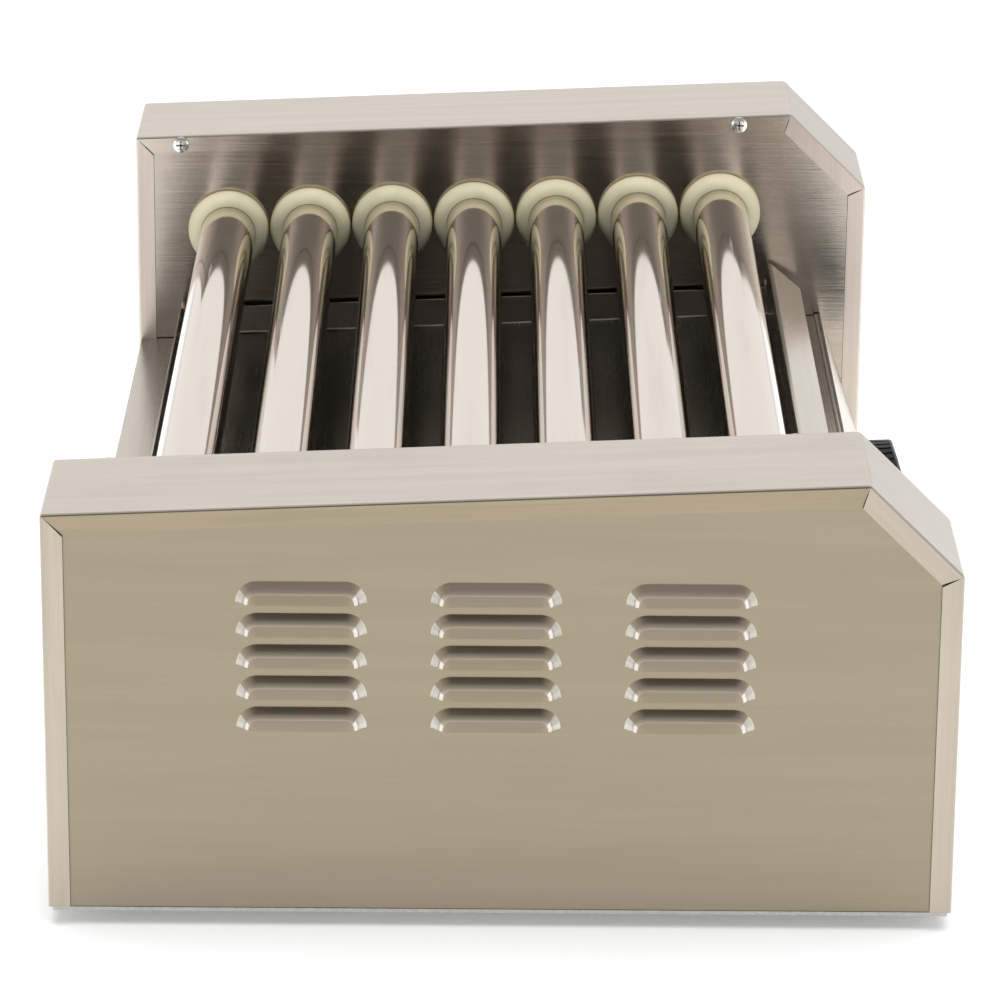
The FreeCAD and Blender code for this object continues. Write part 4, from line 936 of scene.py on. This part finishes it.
class GRILL_OT_drive(bpy.types.Operator):
    """Finish the sprockets, the chain, the motor and the heaters"""
    bl_idname = "grill.drive"
    bl_label = "Drive and heaters"

    def execute(self, context):
        oiled = brushed_steel("oiled_steel", (0.32, 0.30, 0.27), "X", roughness=0.32, rounding=0.3 * MM)
        paint(oiled, "chain", "drive_sprocket", "motor_shaft", "left_thermostat_shaft",
              "right_thermostat_shaft", *[f"sprocket_{number}" for number in ROLLERS])
        paint(brushed_steel("heater_steel", (0.26, 0.21, 0.17), "X", roughness=0.45),
              *[f"heater_{number}" for number in ROLLERS])
        paint(coated_metal("cast_case", (0.30, 0.31, 0.32), 0.3, 0.55, 1800.0), "gearbox", "motor_can")
        paint(coated_metal("bracket_zinc", (0.56, 0.56, 0.53)), "left_heater_bracket",
              "right_heater_bracket")
        paint(ceramic("terminal_ceramic", (0.82, 0.79, 0.70)), "left_terminals", "right_terminals",
              "terminal_block")
        return {"FINISHED"}


class GRILL_OT_fixings(bpy.types.Operator):
    """Model the rubber feet and finish the screws"""
    bl_idname = "grill.fixings"
    bl_label = "Feet and screws"

    def execute(self, context):
        low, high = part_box("feet")
        screw_low, screw_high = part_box("base_screws")
        height = high.z - low.z
        screw_head = 3.4 * MM
        spots = [Vector((x, y, 0)) for x in (screw_low.x + screw_head, screw_high.x - screw_head)
                 for y in (screw_low.y + screw_head, screw_high.y - screw_head)]
        radius = high.x - spots[-1].x
        hole, counterbore, mouth, lead_in = 2.0 * MM, 4.2 * MM, 5.2 * MM, 4.4 * MM
        flange, taper, soft = 1.5 * MM, 0.7 * MM, 1.2 * MM
        profile = [(height, hole), (height, radius), (height - flange, radius)]
        profile += arc(soft, radius - taper - soft, soft, 90, 180, 5)
        profile += [(0, mouth), (0.5 * MM, lead_in), (height / 2, counterbore), (height / 2, hole)]
        upright = Matrix.Rotation(-math.pi / 2, 4, "Y")
        bm = bmesh.new()
        for spot in spots:
            join(bm, spun(profile, 48, ring=True), Matrix.Translation(spot) @ upright)
        finished("rubber_feet", bm, BODY, [rubber("foot_black", (0.02, 0.02, 0.02))],
                 ["feet"])
        zinc = brushed_steel("screw_steel", (0.78, 0.77, 0.75), "Y", roughness=0.26, rounding=0.3 * MM)
        paint(zinc, "base_screws")
        self.drive_screws(context.scene.grill_screws, zinc)
        return {"FINISHED"}

    def drive_screws(self, screws, zinc):
        """The pan-head screws through the flanges by the rollers."""
        # painted shade in the screws' cross recesses
        recess = brushed_steel("screw_recess_shade", (0.10, 0.10, 0.10), "Y", roughness=0.5)
        places = [vert.co for vert in frame["nodes"]["flange_screws"].data.vertices]
        bm = bmesh.new()
        for across in SIDES.values():
            for along in SIDES.values():
                own = [place for place in places if place.x * across > 0 and place.y * along > 0]
                head = min(abs(place.x) for place in own) + screws.settle
                tail = max(abs(place.x) for place in own)
                middle = [(min(place[axis] for place in own) + max(place[axis] for place in own)) / 2
                          for axis in (1, 2)]
                # X of the screw runs out of its head
                placed = Matrix.Translation((across * head, *middle)) @ Matrix.Diagonal((-across, 1, 1, 1))
                join(bm, pan_head(screws, tail - head), placed)
        finished("flange_pan_screws", bm, BODY, [zinc, recess], ["flange_screws"])


def pan_head(screws, length):
    """A pan-head screw with a cross recess, along X; the top of its head is at 0."""
    core, cross = screws.recess / 3, screws.recess
    rise = screws.head_height
    profile = [(-length, 0), (-length, screws.shank), (-rise, screws.shank), (-rise, screws.head),
               (-0.45 * rise, screws.head * 0.97), (-0.15 * rise, screws.head * 0.82), (0, cross),
               (0, core), (0, 0)]
    part = spun(profile, 32)
    sunk = []
    for face in part.faces:
        middle = face.calc_center_median()
        if middle.x < -rise / 20:
            continue
        turn = math.degrees(math.atan2(middle.y, middle.z)) % 90
        if middle.yz.length < core or min(turn, 90 - turn) < 12:
            sunk.append(face)
    lowered = bmesh.ops.extrude_face_region(part, geom=sunk)
    bmesh.ops.translate(part, vec=(-0.7 * rise, 0, 0), verts=new_verts(lowered))
    bmesh.ops.delete(part, geom=sunk, context="FACES")
    # the recess's faces take the painted shade
    for item in lowered["geom"]:
        if isinstance(item, bmesh.types.BMFace):
            item.material_index = 1
    return part


# ---------------------------------------------------------------- stage

class GRILL_OT_stage(bpy.types.Operator):
    """Set up the floor, the soft light and the camera"""
    bl_idname = "grill.stage"
    bl_label = "Stage"

    def execute(self, context):
        stage = context.scene.grill_stage
        bm = bmesh.new()
        bmesh.ops.create_circle(bm, cap_ends=True, radius=stage.floor_radius, segments=96)
        mesh = bpy.data.meshes.new("studio_floor")
        bm.to_mesh(mesh)
        bm.free()
        mesh.materials.append(painted_floor("floor_paint", context.scene.grill_finish.floor))
        floor = bpy.data.objects.new("studio_floor", mesh)
        context.scene.collection.objects.link(floor)
        self.light_room(context.scene)
        self.hang_key(context.scene, stage)
        self.point_camera(context.scene, stage)
        context.scene.view_settings.view_transform = "Standard"
        return {"FINISHED"}

    def light_room(self, scene):
        """A soft room: bright beyond the far end and at both sides, dimmer overhead and behind."""
        world = bpy.data.worlds.new("soft_room")
        scene.world = world
        shader = Shader(world)
        toward_sky = shader.node("ShaderNodeTexCoord", output="Generated")
        split = shader.node("ShaderNodeSeparateXYZ", {}, {0: toward_sky})
        x, y, z = (Value(shader, split.socket.node.outputs[i]) for i in range(3))
        far_wall = x.between(0.0, 0.75) * (1 - z.between(0.6, 0.95))
        across = y.absolute()
        side_walls = across.between(0.45, 0.85)
        # behind the camera only the strip along the floor is bright
        behind = x.between(-0.05, -0.50)
        strip = 1 - z.between(0.08, 0.20)
        # a tall softbox stands to either side, nearer to the camera than to the far wall
        softboxes = (across.between(0.60, 0.68) * (1 - across.between(0.94, 0.99)) * x.between(0.45, 0.30)
                     * (1 - z.between(0.25, 0.38)))
        overhead = z.between(0.80, 0.95)
        room, far_glow, strip_glow, dimming = 0.40, 0.68, 0.55, 0.08
        side_glow, box_glow, ceiling_glow = 0.35, 0.95, 0.25
        level = (far_wall * far_glow + behind * (strip * strip_glow - dimming) + side_walls * side_glow
                 + softboxes * box_glow + overhead * ceiling_glow + room)
        tint = shader.mix(z.between(0.0, 1.0), (1.0, 0.985, 0.96, 1), (0.97, 0.985, 1.0, 1))
        glow = shader.node("ShaderNodeBackground", {}, {"Color": tint, "Strength": level})
        shader.node("ShaderNodeOutputWorld", {}, {"Surface": glow})

    def hang_key(self, scene, stage):
        """A wide overhead softbox that lights the floor and the plastics, kept out of reflections."""
        light = bpy.data.lights.new("key_softbox", "AREA")
        light.shape = "DISK"
        light.size = 3.2
        light.energy = stage.key_power
        key = bpy.data.objects.new("key_softbox", light)
        key.location = (-0.3, -0.2, 2.4)
        key.visible_glossy = False
        key.visible_camera = False
        scene.collection.objects.link(key)

    def point_camera(self, scene, stage):
        """Place the camera by its heading, its height and its roll about its target."""
        back = Vector((math.sin(stage.azimuth) * math.cos(stage.elevation),
                       -math.cos(stage.azimuth) * math.cos(stage.elevation), math.sin(stage.elevation)))
        right = Vector((math.cos(stage.azimuth), math.sin(stage.azimuth), 0))
        up = back.cross(right)
        rolled = math.cos(stage.roll) * right + math.sin(stage.roll) * up
        risen = back.cross(rolled)
        data = bpy.data.cameras.new("camera")
        data.lens = stage.lens
        data.sensor_width = 36
        camera = bpy.data.objects.new("camera", data)
        place = Vector(stage.target) + back * stage.distance
        turned = Matrix((rolled, risen, back)).transposed().to_4x4()
        camera.matrix_world = Matrix.Translation(place) @ turned
        scene.collection.objects.link(camera)
        scene.camera = camera


# ---------------------------------------------------------------- add-on

OPERATORS = (GRILL_OT_end_housings, GRILL_OT_louvred_panels, GRILL_OT_rollers, GRILL_OT_bushes,
             GRILL_OT_drip_tray, GRILL_OT_controls, GRILL_OT_chassis, GRILL_OT_drive, GRILL_OT_fixings,
             GRILL_OT_stage)

SETTINGS = {
    "grill_housing": HousingSettings,
    "grill_louvres": LouvreSettings,
    "grill_rollers": RollerSettings,
    "grill_tray": TraySettings,
    "grill_chassis": ChassisSettings,
    "grill_knobs": KnobSettings,
    "grill_screws": ScrewSettings,
    "grill_finish": FinishSettings,
    "grill_stage": StageSettings,
}


class GRILL_PT_panel(bpy.types.Panel):
    """Settings and steps of the roller grill's looks"""
    bl_idname = "GRILL_PT_panel"
    bl_label = "Roller grill"
    bl_space_type = "VIEW_3D"
    bl_region_type = "UI"
    bl_category = "Grill"

    def draw(self, context):
        for name, settings in SETTINGS.items():
            box = self.layout.box()
            box.label(text=settings.__doc__)
            for size in settings.__annotations__:
                box.prop(getattr(context.scene, name), size)
        for operator in OPERATORS:
            self.layout.operator(operator.bl_idname)


CLASSES = (*SETTINGS.values(), *OPERATORS, GRILL_PT_panel)


def register():
    """Register the classes and hang the settings on the scene."""
    for kind in CLASSES:
        bpy.utils.register_class(kind)
    for name, settings in SETTINGS.items():
        setattr(bpy.types.Scene, name, PointerProperty(type=settings))


def unregister():
    """Undo what register did."""
    for name in SETTINGS:
        delattr(bpy.types.Scene, name)
    for kind in reversed(CLASSES):
        bpy.utils.unregister_class(kind)


def main():
    """Build every piece in order."""
    register()
    for operator in OPERATORS:
        group, name = operator.bl_idname.split(".")
        result = getattr(getattr(bpy.ops, group), name)()
        if result != {"FINISHED"}:
            raise RuntimeError(f"{operator.bl_idname} did not finish")


if __name__ == "__main__":
    main()
